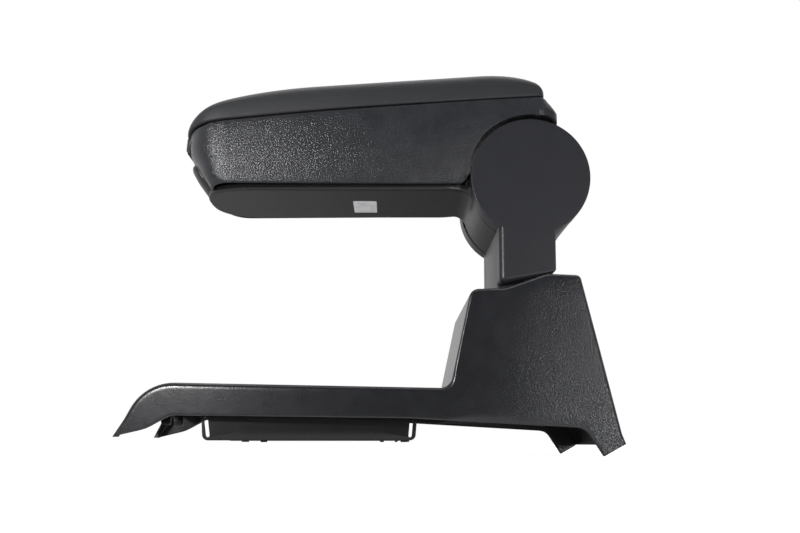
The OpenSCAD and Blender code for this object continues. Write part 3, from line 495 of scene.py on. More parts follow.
def between(grid: np.ndarray, row: np.ndarray, column: np.ndarray) -> np.ndarray:
    """Reads a grid of points at fractional rows and columns, straight between its points.

    Args:
        grid: rows by columns by three.
        row: fractional rows.
        column: fractional columns, of a shape that broadcasts with the rows.

    Returns:
        A point for each pair of row and column.
    """
    row, column = np.broadcast_arrays(row, column)
    r = np.clip(np.floor(row).astype(int), 0, grid.shape[0] - 2)
    c = np.clip(np.floor(column).astype(int), 0, grid.shape[1] - 2)
    u, v = (row - r)[..., None], (column - c)[..., None]
    low = grid[r, c] * (1 - v) + grid[r, c + 1] * v
    high = grid[r + 1, c] * (1 - v) + grid[r + 1, c + 1] * v
    return low * (1 - u) + high * u


def lerp(a: np.ndarray, b: np.ndarray, t: np.ndarray) -> np.ndarray:
    """Point between a and b."""
    return a + (b - a) * t


class Surface:
    """Collects grids of points and turns them into one mesh object."""

    def __init__(self, name: str) -> None:
        """Starts an empty surface."""
        self.name = name
        self.points: list[np.ndarray] = []
        self.faces: list[np.ndarray] = []
        self.count = 0

    def grid(self, points: np.ndarray, keep: np.ndarray | None = None, flip: bool = False) -> None:
        """Adds a grid whose neighbouring points become quads.

        Args:
            points: rows by columns by three, in millimetres.
            keep: which faces stay, or all.
            flip: whether the faces turn the other way.
        """
        rows, columns = points.shape[:2]
        index = self.count + np.arange(rows * columns).reshape(rows, columns)
        corners = [index[:-1, :-1], index[1:, :-1], index[1:, 1:], index[:-1, 1:]]
        faces = np.stack(corners[::-1] if flip else corners, axis=-1)
        self.faces.append(faces[keep] if keep is not None else faces.reshape(-1, 4))
        self.points.append(points.reshape(-1, 3))
        self.count += rows * columns

    def slab(
        self, outline: np.ndarray, low: float, high: float, centre: tuple, to_space: Callable,
        edge: "float | np.ndarray" = 0.6, steps: int = 4, open_low: bool = False,
    ) -> None:
        """Adds a closed plate with rounded edges.

        Rings of the outline go from the middle of the low face out to its edge, round it, across
        to the high face and back in to the middle. A ring at depth d inside the edge is the
        outline moved by d along its inward normals. One more ring just inside the high face's
        rounding keeps that face flat where it is shaded smooth.

        Args:
            outline: closed plane outline, anticlockwise.
            low: depth of the low face.
            high: depth of the high face.
            centre: plane point from which the whole outline can be seen.
            to_space: turns plane points and depths into points in space.
            edge: radius of the edges, one for all or one for each point of the outline.
            steps: parts of each rounded edge.
            open_low: whether the low face and its rounding are left out.
        """
        flat_ring = 0.3
        loop = looped(outline)
        inward = looped(left_normals(outline, closed=True))
        turn = np.linspace(0, np.pi / 2, steps + 1)
        radius = looped(np.broadcast_to(edge, len(outline)))
        inset = [radius[:, None] * (1 - math.sin(a)) for a in turn]
        rise = [radius * (1 - math.cos(a)) for a in turn]
        rings = [(loop + inward * d, high - r) for d, r in zip(inset[::-1], rise[::-1])]
        if open_low:
            rings.insert(0, (loop, low))
        else:
            rings = [(loop + inward * d, low + r) for d, r in zip(inset, rise)] + rings
        middle = np.broadcast_to(np.asarray(centre, float), loop.shape)
        fill = [(loop + inward * (inset[0] + flat_ring), high)]
        fill += [(lerp(rings[-1][0], middle, t), high) for t in (0.5, 1.0)]
        if not open_low:
            rings = [(lerp(rings[0][0], middle, t), low) for t in (1.0, 0.5)] + rings
        rings = rings + fill
        self.grid(np.stack([to_space(ring, depth) for ring, depth in rings]))

    def rod(self, a: tuple, b: tuple, radius: float, edge: float = 0.3, sides: int = 32) -> None:
        """Adds a round rod between two points, with its edges rounded.

        Each ring is a circle about the line from a to b.

        Args:
            a: one end's centre.
            b: the other end's centre.
            radius: the rod's radius.
            edge: radius of its edges.
            sides: parts of the circle.
        """
        start, end = np.asarray(a, float), np.asarray(b, float)
        length = np.linalg.norm(end - start)
        axis = (end - start) / length
        side = np.cross(axis, [0.0, 0.0, 1.0] if abs(axis[2]) < 0.9 else [1.0, 0.0, 0.0])
        side = side / np.linalg.norm(side)
        other = np.cross(axis, side)
        turn = np.linspace(0, 2 * np.pi, sides + 1)
        circle = np.cos(turn)[:, None] * side + np.sin(turn)[:, None] * other
        curve = np.linspace(0, np.pi / 2, 4)
        rise, fall = edge * (1 - np.sin(curve)), edge * (1 - np.cos(curve))
        out = np.concatenate([[0], radius - rise, radius - fall, [0]])
        far = np.concatenate([[0], fall, length - rise, [length]])
        rings = start + axis * far[:, None, None] + circle[None] * out[:, None, None]
        self.grid(rings, flip=True)

    def build(self) -> bpy.types.Object:
        """Writes the mesh in metres and welds its seams and poles.

        Returns:
            The new object, at the origin.
        """
        mesh = bpy.data.meshes.new(self.name)
        mesh.from_pydata((np.concatenate(self.points) * MM).tolist(), [], np.concatenate(self.faces).tolist())
        weld(mesh)
        made = bpy.data.objects.new(self.name, mesh)
        bpy.context.scene.collection.objects.link(made)
        return made

    def solid(self) -> bpy.types.Object:
        """Writes a closed mesh and turns its faces outwards."""
        made = self.build()
        outward(made)
        return made


def weld(mesh: bpy.types.Mesh) -> None:
    """Merges a mesh's double points and drops the faces that this collapses.

    Args:
        mesh: the mesh, which is changed.
    """
    work = bmesh.new()
    work.from_mesh(mesh)
    bmesh.ops.remove_doubles(work, verts=work.verts, dist=WELD)
    bmesh.ops.dissolve_degenerate(work, dist=WELD, edges=work.edges)
    work.to_mesh(mesh)
    work.free()


def upright(plane: np.ndarray, depth: float) -> np.ndarray:
    """Plane points (x, z) at a depth along Y."""
    return np.stack([plane[:, 0], np.broadcast_to(depth, len(plane)), plane[:, 1]], axis=-1)


def lying(plane: np.ndarray, depth: float) -> np.ndarray:
    """Plane points (x, y) at a height."""
    return np.stack([plane[:, 0], plane[:, 1], np.broadcast_to(depth, len(plane))], axis=-1)


def mirrored(points: np.ndarray) -> np.ndarray:
    """Points on the other side of the middle plane."""
    return points * np.array([1.0, -1.0, 1.0])


@dataclass
class Dress:
    """What a finished mesh gets: its wall, its edges, its finish and what it stands for.

    Attributes:
        body: the body that the piece moves with.
        finish: its finish.
        replaces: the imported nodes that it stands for.
        wall: thickness of an open shell's wall, or 0.
        even: whether the wall keeps its thickness at corners.
        edge: radius of its edges, or 0 where they are rounded already.
        edge_angle: angle in degrees from which an edge is rounded.
        segments: parts of each rounded edge.
        sharp: angle in degrees from which an edge is shaded sharp.
    """

    body: Body
    finish: Finish
    replaces: tuple = ()
    wall: float = 0.0
    even: bool = True
    edge: float = 0.0
    edge_angle: float = 40.0
    segments: int = 2
    sharp: float = 32.0

    def thicken(self, piece: bpy.types.Object) -> None:
        """Gives an open shell its wall. A piece that is closed already keeps its shape.

        Args:
            piece: the shell, whose vertex group "wall" thins the wall where it has one.
        """
        if not self.wall or not (edge_uses(piece.data) == 1).any():
            return
        thick = piece.modifiers.new("wall", "SOLIDIFY")
        thick.thickness = self.wall * MM
        thick.offset = -1.0
        thick.use_even_offset = self.even
        thick.use_rim = True
        if "wall" in piece.vertex_groups:
            thick.vertex_group = "wall"
        bake_modifiers(piece)

    def put_on(self, piece: bpy.types.Object) -> bpy.types.Object:
        """Applies the wall and the edges, smooths the mesh and hands the piece to its body.

        Args:
            piece: the new object.

        Returns:
            The same object.
        """
        self.thicken(piece)
        if self.edge:
            round_off = piece.modifiers.new("edge", "BEVEL")
            round_off.width = self.edge * MM
            round_off.segments = self.segments
            round_off.limit_method = "ANGLE"
            round_off.angle_limit = math.radians(self.edge_angle)
            round_off.use_clamp_overlap = True
        bake_modifiers(piece)
        piece.data.shade_smooth()
        piece.data.set_sharp_from_angle(angle=math.radians(self.sharp))
        piece.data.materials.clear()
        piece.data.materials.append(self.finish.material())
        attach(piece, self.body.value)
        if self.replaces:
            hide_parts(*self.replaces)
        log.info("%s: %d faces on %s", piece.name, len(piece.data.polygons), self.body.value)
        return piece


def edge_uses(mesh: bpy.types.Mesh) -> np.ndarray:
    """How many faces use each edge.

    Args:
        mesh: the mesh.

    Returns:
        One number for each edge.
    """
    index = np.empty(len(mesh.loops), int)
    mesh.loops.foreach_get("edge_index", index)
    return np.bincount(index, minlength=len(mesh.edges))


def subtract(piece: bpy.types.Object, tool: bpy.types.Object) -> None:
    """Cuts a tool out of a piece and deletes the tool.

    Args:
        piece: what is cut.
        tool: the cutting body.
    """
    cut = piece.modifiers.new("cut", "BOOLEAN")
    cut.operation = "DIFFERENCE"
    cut.solver = "EXACT"
    cut.object = tool
    bake_modifiers(piece)
    bpy.data.objects.remove(tool)


def bake_modifiers(piece: bpy.types.Object) -> None:
    """Replaces a piece's mesh by the one that its modifiers make.

    Args:
        piece: the object, which keeps no modifier.
    """
    if not piece.modifiers:
        return
    graph = bpy.context.evaluated_depsgraph_get()
    mesh = bpy.data.meshes.new_from_object(piece.evaluated_get(graph))
    piece.modifiers.clear()
    piece.data = mesh


# Shapes that several pieces share


@dataclass
class Seam:
    """The line between casing and lid, seen from the side."""

    hinge_x: float = 150.3
    hinge_z: float = 301.3
    slope: float = 0.0506
    bow: float = 0.0001050

    def height(self, x: np.ndarray) -> np.ndarray:
        """Height at x: a parabola that falls from the hinge to the nose."""
        back = self.hinge_x - x
        return self.hinge_z - self.slope * back - self.bow * back**2


@dataclass
class PodOutline:
    """Plan outline of the armrest: a blunt round nose, straight sides and a rear with round corners."""

    nose_x: float
    half: float
    rear_x: float
    nose_run: float = 42.0
    power: float = 2.6
    corner: float = 7.0

    def loop(self, side_x: np.ndarray, nose_steps: int = 26, rear_steps: int = 10) -> np.ndarray:
        """Closed outline, anticlockwise from above, that starts at the rear's middle.

        The nose is a superellipse: its x is nose_x + nose_run * (1 - cos(a)^(2/power)) and its y
        is half * sin(a)^(2/power). The rear corners are quarter circles.

        Args:
            side_x: places of the points along each straight side, from the rear to the nose.
            nose_steps: parts of half the nose.
            rear_steps: parts of half the rear edge.

        Returns:
            Points, without the first one repeated.
        """
        across = np.linspace(0, 1, rear_steps + 1)[:-1] * (self.half - self.corner)
        rear = np.stack([np.full(rear_steps, self.rear_x), across], axis=-1)
        turn = np.linspace(0, np.pi / 2, 9)[:-1]
        corner = np.stack([
            self.rear_x - self.corner * (1 - np.cos(turn)),
            self.half - self.corner * (1 - np.sin(turn))], axis=-1)
        side = np.stack([side_x, np.full(len(side_x), self.half)], axis=-1)
        angle = np.linspace(np.pi / 2, 0, nose_steps + 1)
        nose = np.stack([
            self.nose_x + self.nose_run * (1 - np.abs(np.cos(angle)) ** (2 / self.power)),
            self.half * np.abs(np.sin(angle)) ** (2 / self.power)], axis=-1)
        upper = np.concatenate([rear, corner, side, nose])
        lower = upper[1:-1][::-1] * np.array([1.0, -1.0])
        return np.concatenate([upper, lower])


SEAM = Seam()


# Console


@dataclass
class ConsoleCover:
    """Moulded cover over the tunnel, with the notch, the tray's and the post's openings and the prongs.

    Attributes:
        front_edge: radius of the edge up the pedestal's steep front, where edge is the rest's.
        steep: middle and reach in X of that front, and the height above which it lies.
        thin: share of the wall's thickness at the tips, and the run over which it grows to full.
        deck_top: height that the deck's outline stays under.
        deck_run: distance along the outline within which the deck lies.
        crown: X and height above which the pedestal's top lies.
        top: the upper outline's corners from the side, as x, z and radius.
        low: the lower outline's corners.
        prong: outline of a prong.
        rib: outline of a rib inside a rear wing.
    """

    front_x: float = -204.4
    front_half: float = 50.0
    rear_half: float = 65.0
    wing_x: float = 186.6
    wall: float = 3.0
    edge: float = 3.8
    front_edge: float = 1.8
    notch_x: float = -190.0
    notch_half: float = 35.0
    notch_flare: float = 3.9
    notch_r: float = 14.0
    blend_x: float = -165.0
    opening_half: float = 39.3
    tray_x: tuple = (-140.3, 43.3)
    post_x: tuple = (109.7, 157.2)
    steep: tuple = (77.0, 9.0, 57.0)
    thin: tuple = (0.12, 18.0)
    deck_top: float = 62.0
    deck_run: float = 330.0
    crown: tuple = (100.0, 130.0)
    step: float = 4.5
    prong_y: float = 16.0
    prong_t: float = 3.0
    rib_y: float = 60.0
    rib_t: float = 5.0
    top: list = field(default_factory=lambda: [
        (-204.4, 15.6, 0), (-180, 60, 45), (67.2, 54.3, 10), (84.4, 134.3, 8), (112.1, 134.8, 20),
        (145.1, 146.2, 20), (171.7, 144.8, 5), (203.8, 9.5, 0)])
    low: list = field(default_factory=lambda: [
        (-204.4, 15.6, 0), (-178, 22, 30), (-158.5, 32.8, 6), (35, 30, 30), (172.3, 22.2, 12),
        (186.6, 0, 0), (203.8, 9.5, 0)])
    prong: list = field(default_factory=lambda: [
        (-179, 52, 0), (-177.5, 27.5, 1), (-175.5, 26, 1), (-169.5, 26, 1.5), (-168.4, 52, 0)])
    rib: list = field(default_factory=lambda: [
        (168.7, 26, 0), (171.2, 26, 0), (171.2, 67, 0.5), (168.7, 67, 0.5)])

    def half(self, x: np.ndarray) -> np.ndarray:
        """Half width at x, which grows evenly from the tips to the wings."""
        share = np.clip((x - self.front_x) / (self.wing_x - self.front_x), 0, 1)
        return self.front_half + (self.rear_half - self.front_half) * share

    def chains(self) -> tuple:
        """Rows of matching points on the upper and the lower outline.

        The lower outline's distances are interpolated between pairs of places that face each
        other: both tips, the bend, the pedestal's foot and top, and the wing.

        Returns:
            Upper points, their outward normals and lower points, each (x, z).
        """
        top, low = rounded(self.top, 10), rounded(self.low, 8)
        run = run_length(top)
        deck = (top[:, 1] < self.deck_top) & (run < self.deck_run)
        crown = (top[:, 0] > self.crown[0]) & (top[:, 1] > self.crown[1])
        extra = [np.interp(x, top[deck, 0], run[deck]) for x in self.tray_x]
        extra += [np.interp(x, top[crown, 0], run[crown]) for x in self.post_x]
        where = stations(top, self.step, tuple(extra))
        upper = at_length(top, where)
        normal = left_normals(at_length(top, np.linspace(0, run[-1], 3000)))
        even = np.linspace(0, run[-1], len(normal))
        normal = np.stack([np.interp(where, even, normal[:, i]) for i in range(2)], axis=-1)
        normal /= np.linalg.norm(normal, axis=1, keepdims=True)
        top_marks = self.marks(top, [
            self.top[0][:2], (-180, 52), (67.2, 54.3), (84.4, 134.3), (171.7, 144.8), (198.6, 31),
            self.top[-1][:2]])
        low_marks = self.marks(low, [
            self.low[0][:2], (-162, 31), (66, 28.6), (90, 27), (172.3, 22.2), (186.6, 0),
            self.low[-1][:2]])
        return upper, normal, at_length(low, np.interp(where, top_marks, low_marks))

    @staticmethod
    def marks(path: np.ndarray, places: list) -> np.ndarray:
        """Distances along a path of the points that lie nearest to some places.

        Args:
            path: the path's points.
            places: plane points near it.

        Returns:
            One distance for each place.
        """
        run = np.linspace(0, run_length(path)[-1], 4000)
        away = np.linalg.norm(at_length(path, run)[:, None] - np.array(places, float), axis=2)
        return run[np.argmin(away, axis=0)]

    def skin(self) -> tuple:
        """Grid of the outer skin and the faces that stay.

        A row runs from the left skirt's lower edge up the side, round the edge, across the top
        and down the right side. Between skirt and edge it is a straight line, and the edge is a
        quarter circle. Its radius passes to the steep front's by exp(-((x - middle) / reach)^4).
        Ahead of the bend the middle columns start on the notch's outline.

        Returns:
            Points and the mask of faces.
        """
        upper, normal, lower = self.chains()
        steep_x, reach, foot = self.steep
        on_front = np.exp(-(((upper[:, 0] - steep_x) / reach) ** 4)) * (upper[:, 1] > foot)
        edge = self.edge - (self.edge - self.front_edge) * on_front
        radius = np.minimum(edge, 0.3 * np.linalg.norm(upper - lower, axis=1))[:, None]
        shoulder = upper - normal * radius
        side = [lerp(lower, shoulder, t) for t in np.linspace(0, 1, 13)]
        columns = [np.c_[p[:, 0], self.half(p[:, 0]), p[:, 1]] for p in side]
        for turn in np.linspace(0, np.pi / 2, 7)[1:]:
            p = upper - normal * radius * (1 - math.sin(turn))
            y = self.half(p[:, 0]) - radius[:, 0] * (1 - math.cos(turn))
            columns.append(np.c_[p[:, 0], y, p[:, 1]])
        share = np.clip((upper[:, 0] - self.front_x) / (self.blend_x - self.front_x), 0, 1)
        inner = self.opening_half + (self.notch_half + self.notch_flare - self.opening_half) * (1 - share)
        rim = columns[-1][:, 1]
        columns += [np.c_[upper[:, 0], lerp(rim, inner, t), upper[:, 1]] for t in (0.33, 0.66, 1.0)]
        left = np.stack(columns, axis=1)
        middle = self.middle(upper, share)
        points = np.concatenate([left, middle, mirrored(left[:, ::-1])], axis=1)
        keep = np.ones((len(points) - 1, points.shape[1] - 1), bool)
        first = left.shape[1] - 1
        last = first + middle.shape[1] + 1
        for low, high, floor in ((*self.tray_x, 0), (*self.post_x, 100)):
            x, z = upper[:, 0], upper[:, 1]
            inside = (x[:-1] > low - 0.01) & (x[1:] < high + 0.01) & (z[:-1] > floor) & (x[1:] > x[:-1])
            keep[inside, first:last] = False
        return points, keep

    def middle(self, upper: np.ndarray, share: np.ndarray) -> np.ndarray:
        """Columns between the two opening lines, without the lines themselves.

        Args:
            upper: the upper outline's points.
            share: how far each lies between the tip, 0, and the bend, 1.

        Returns:
            Rows by columns of points, which go straight back from the notch's outline to the bend.
        """
        count = 28
        flared = self.notch_half + self.notch_flare
        notch = rounded([
            (self.front_x, flared, 0), (self.notch_x, self.notch_half, self.notch_r),
            (self.notch_x, -self.notch_half, self.notch_r), (self.front_x, -flared, 0)])
        notch = at_length(notch, np.linspace(0, run_length(notch)[-1], count + 1))[1:-1]
        even = np.linspace(self.opening_half, -self.opening_half, count + 1)[1:-1]
        ahead = (share < 1)[:, None]
        x = np.where(ahead, lerp(notch[None, :, 0], self.blend_x, share[:, None]), upper[:, :1])
        y = np.where(ahead, lerp(notch[None, :, 1], even[None], share[:, None]), even[None])
        slope = upper[:, 0] <= self.blend_x + 10
        z = np.where(ahead, np.interp(x, upper[slope, 0], upper[slope, 1]), upper[:, 1:])
        return np.stack([x, y, z], axis=-1)

    def build(self) -> None:
        """Makes the cover, with its prongs and inner ribs."""
        surface = Surface("console_cover_skin")
        points, keep = self.skin()
        surface.grid(points, keep, flip=True)
        cover = surface.build()
        self.thin_tips(cover)
        Dress(Body.BASE, COVER, ("console_cover",), wall=self.wall, edge=0.45).put_on(cover)
        prongs = Surface("console_prongs")
        shape = rounded(self.prong, 4, True)
        for y in (self.prong_y, -self.prong_y):
            prongs.slab(shape, y - self.prong_t / 2, y + self.prong_t / 2, (-173.6, 38), upright, 0.4)
        Dress(Body.BASE, GLOSSY).put_on(prongs.build())
        ribs = Surface("console_wing_ribs")
        shape = rounded(self.rib, 3, True)
        for y in (self.rib_y, -self.rib_y):
            ribs.slab(shape, y - self.rib_t / 2, y + self.rib_t / 2, (170, 50), upright, 0.3)
        Dress(Body.BASE, COVER).put_on(ribs.build())

    def thin_tips(self, cover: bpy.types.Object) -> None:
        """Weights the wall so that it grows evenly from the tips to its full thickness.

        Args:
            cover: the skin, which gets the vertex group "wall".
        """
        least, run = self.thin
        points = np.empty(len(cover.data.vertices) * 3)
        cover.data.vertices.foreach_get("co", points)
        weight = np.clip((points[::3] / MM - self.front_x) / run, least, 1.0)
        group = cover.vertex_groups.new(name="wall")
        for level in np.unique(weight):
            group.add(np.flatnonzero(weight == level).tolist(), float(level), "REPLACE")


def rounded_box(x0: float, x1: float, half: float, radius: float) -> np.ndarray:
    """Plan outline of a box from x0 to x1 with round corners, anticlockwise and not repeated."""
    corners = [(x1, -half, radius), (x1, half, radius), (x0, half, radius), (x0, -half, radius)]
    return rounded(corners, 6, True)


@dataclass
class Tray:
    """Gloss tray frame, which hangs in the deck's opening, and the tray inside it.

    Attributes:
        taper: how much shorter the side plates are at the foot, in front and at the rear.
        lip: how far the lip lies over the deck, and lip_t is its thickness.
        slots: the side plates' slots, as X at the foot, lean to the rear, width and Y.
        slot_z: height of the slots' ends.
        deck: the deck's top as X, height and fall per millimetre.
        pads: the pads under the side plates, as X and half length, between the heights pad_z.
        bin_in: how far the bin's ends lie inside the frame's.
        bin_z: height of the bin's floor, under it and on it, and bin_r the radii round it.
        spine_in: how far the floor's middle line ends inside the frame's ends.
    """

    x0: float = -140.0
    x1: float = 43.0
    half: float = 39.0
    corner: float = 4.0
    wall: float = 2.2
    floor_z: float = 12.5
    taper: tuple = (4.6, 2.9)
    lip: float = 4.5
    lip_t: float = 0.45
    slots: tuple = (
        (-130.9, -2.0, 3.6, -39.0), (-130.9, -2.0, 3.6, 36.8), (35.6, 1.4, 2.8, -39.0),
        (37.9, 1.4, 3.2, 36.8))
    slot_z: tuple = (15.2, 31.5)
    deck: tuple = (-180.0, 60.0, 0.022892)
    pads: tuple = ((-100.0, 3.0), (12.0, 1.2), (24.5, 1.0), (32.0, 3.0))
    pad_z: tuple = (11.3, 13.5)
    plate_top: float = 50.0
    band_foot: float = 34.5
    bin_in: tuple = (11.0, 11.5)
    bin_half: float = 36.5
    bin_corner: float = 6.0
    bin_z: tuple = (15.5, 17.7)
    bin_r: tuple = (2.5, 3.0)
    mouth_r: float = 1.2
    rim_in: float = 0.5
    rim_corner: float = 3.5
    rim_r: float = 0.3
    spine_in: float = 46.0

    def deck_z(self, x: np.ndarray) -> np.ndarray:
        """Height of the deck's top at x."""
        nose_x, nose_z, slope = self.deck
        return nose_z - slope * (x - nose_x)

    def level(self, plan: np.ndarray, height: float, share: float) -> np.ndarray:
        """Closed ring at a height above the deck for a share of 1, or above the ground for 0."""
        loop = looped(plan)
        return np.c_[loop, height + share * self.deck_z(loop[:, 0])]

    def ring(self, surface: Surface, profile: list) -> None:
        """Adds a closed band round the opening.

        Args:
            surface: what the band goes into.
            profile: closed list of (outset, height, share), where the height counts from the
                deck for a share of 1 and from the ground for a share of 0.
        """
        rings = []
        for outset, height, share in profile + profile[:1]:
            plan = rounded_box(self.x0 - outset, self.x1 + outset, self.half + outset, self.corner + outset)
            rings.append(self.level(plan, height, share))
        surface.grid(np.stack(rings), flip=True)

    def slot(self, foot_x: float, lean: float, width: float, y: float) -> bpy.types.Object:
        """Cutting body of one upright slot with round ends.

        Args:
            foot_x: X of the lower end.
            lean: how far the upper end lies behind it.
            width: the slot's width.
            y: the near face of the plate that it cuts.

        Returns:
            The body, which reaches past both faces of the plate.
        """
        low, high = self.slot_z
        past = 2.0
        r, head_x = width / 2, foot_x + lean
        shape = rounded([
            (foot_x - r, low, r), (foot_x + r, low, r), (head_x + r, high, r),
            (head_x - r, high, r)], 6, True)
        surface = Surface("slot")
        centre = (foot_x + lean / 2, (low + high) / 2)
        surface.slab(shape, y - past, y + self.wall + past, centre, upright, 0.1)
        return surface.solid()

    def frame(self) -> None:
        """Makes the frame: two side plates with slots, a lip on the deck and a band inside it."""
        surface = Surface("tray_frame_form")
        front, rear = self.taper
        side = rounded([
            (self.x0 + 2.6, self.plate_top, 0), (self.x0 + front, self.floor_z, self.corner + 1),
            (self.x1 - rear, self.floor_z, self.corner + 1), (self.x1, self.plate_top, 0)], 6, True)
        inner = self.half - self.wall
        foot, head = self.pad_z
        for low, high in ((-self.half, -inner), (inner, self.half)):
            surface.slab(side, low, high, (-48, 30), upright, 0.35)
            for x, reach in self.pads:
                pad = rounded([
                    (x - reach, foot, 0.4), (x + reach, foot, 0.4), (x + reach, head, 0),
                    (x - reach, head, 0)], 3, True)
                surface.slab(pad, low + 0.1, high - 0.1, (x, self.floor_z), upright, 0.2)
        plates = surface.solid()
        for place in self.slots:
            subtract(plates, self.slot(*place))
        Dress(Body.BASE, GLOSSY, ("tray_frame",)).put_on(plates)
        band = Surface("tray_frame_lip")
        t, e, out = self.lip_t, 0.15, self.lip
        self.ring(band, [
            (-0.05, self.band_foot, 0), (-0.05, 0.02, 1), (out - e, 0.02, 1), (out, e, 1), (out, t - e, 1),
            (out - 0.05, t - 0.05, 1), (out - e, t, 1), (-self.wall, t, 1), (-self.wall, self.band_foot, 0)])
        Dress(Body.BASE, GLOSSY).put_on(band.build())

    def tray(self) -> None:
        """Makes the tray: one profile from the inner floor's middle over the rim to the outer one's.

        Each corner of the profile is a quarter circle, whose point at the angle a lies
        radius * (1 - sin(a)) across and radius * (1 - cos(a)) up from the corner.
        """
        rim = rounded_box(
            self.x0 + self.rim_in, self.x1 - self.rim_in, self.half - self.rim_in, self.rim_corner)
        bin_out = rounded_box(
            self.x0 + self.bin_in[0], self.x1 - self.bin_in[1], self.bin_half, self.bin_corner)
        middle = np.clip(bin_out[:, 0], self.x0 + self.spine_in, self.x1 - self.spine_in)
        spine = np.c_[middle, np.zeros(len(bin_out))]
        turn = np.linspace(0, np.pi / 2, 5)
        across, along = 1 - np.sin(turn), 1 - np.cos(turn)
        top, under = 2 * self.lip_t, self.lip_t + 0.05
        low_z, floor_z = self.bin_z
        low_r, foot_r = self.bin_r
        rings = []

        def add(plan: np.ndarray, inset: float, height: float, share: float, inward: float = 0.0) -> None:
            """Adds one ring: an outline moved inwards, and then by a share of the way to the spine."""
            moved = plan + left_normals(plan, closed=True) * inset
            rings.append(self.level(lerp(moved, spine, inward), height, share))

        for inward in (1.0, 0.5, 0.0):
            add(bin_out, self.wall + foot_r, floor_z, 0, inward)
        for a, b in zip(across[1:], along[1:]):
            add(bin_out, self.wall + foot_r * a, floor_z + foot_r * b, 0)
        for a, b in zip(across, along):
            add(bin_out, self.wall - self.mouth_r * b, top - self.mouth_r * a, 1)
        for a, b in zip(across, along):
            add(rim, self.rim_r * a, top - self.rim_r * b, 1)
        add(rim, 0, under, 1)
        add(bin_out, 0, under, 1)
        for a, b in zip(across[::-1], along[::-1]):
            add(bin_out, low_r * a, low_z + low_r * b, 0)
        for inward in (0.5, 1.0):
            add(bin_out, low_r, low_z, 0, inward)
        surface = Surface("oddments_tray_form")
        surface.grid(np.stack(rings))
        Dress(Body.BASE, GLOSSY, ("oddments_tray",)).put_on(surface.solid())

    def build(self) -> None:
        """Makes the frame and the tray."""
        self.frame()
        self.tray()


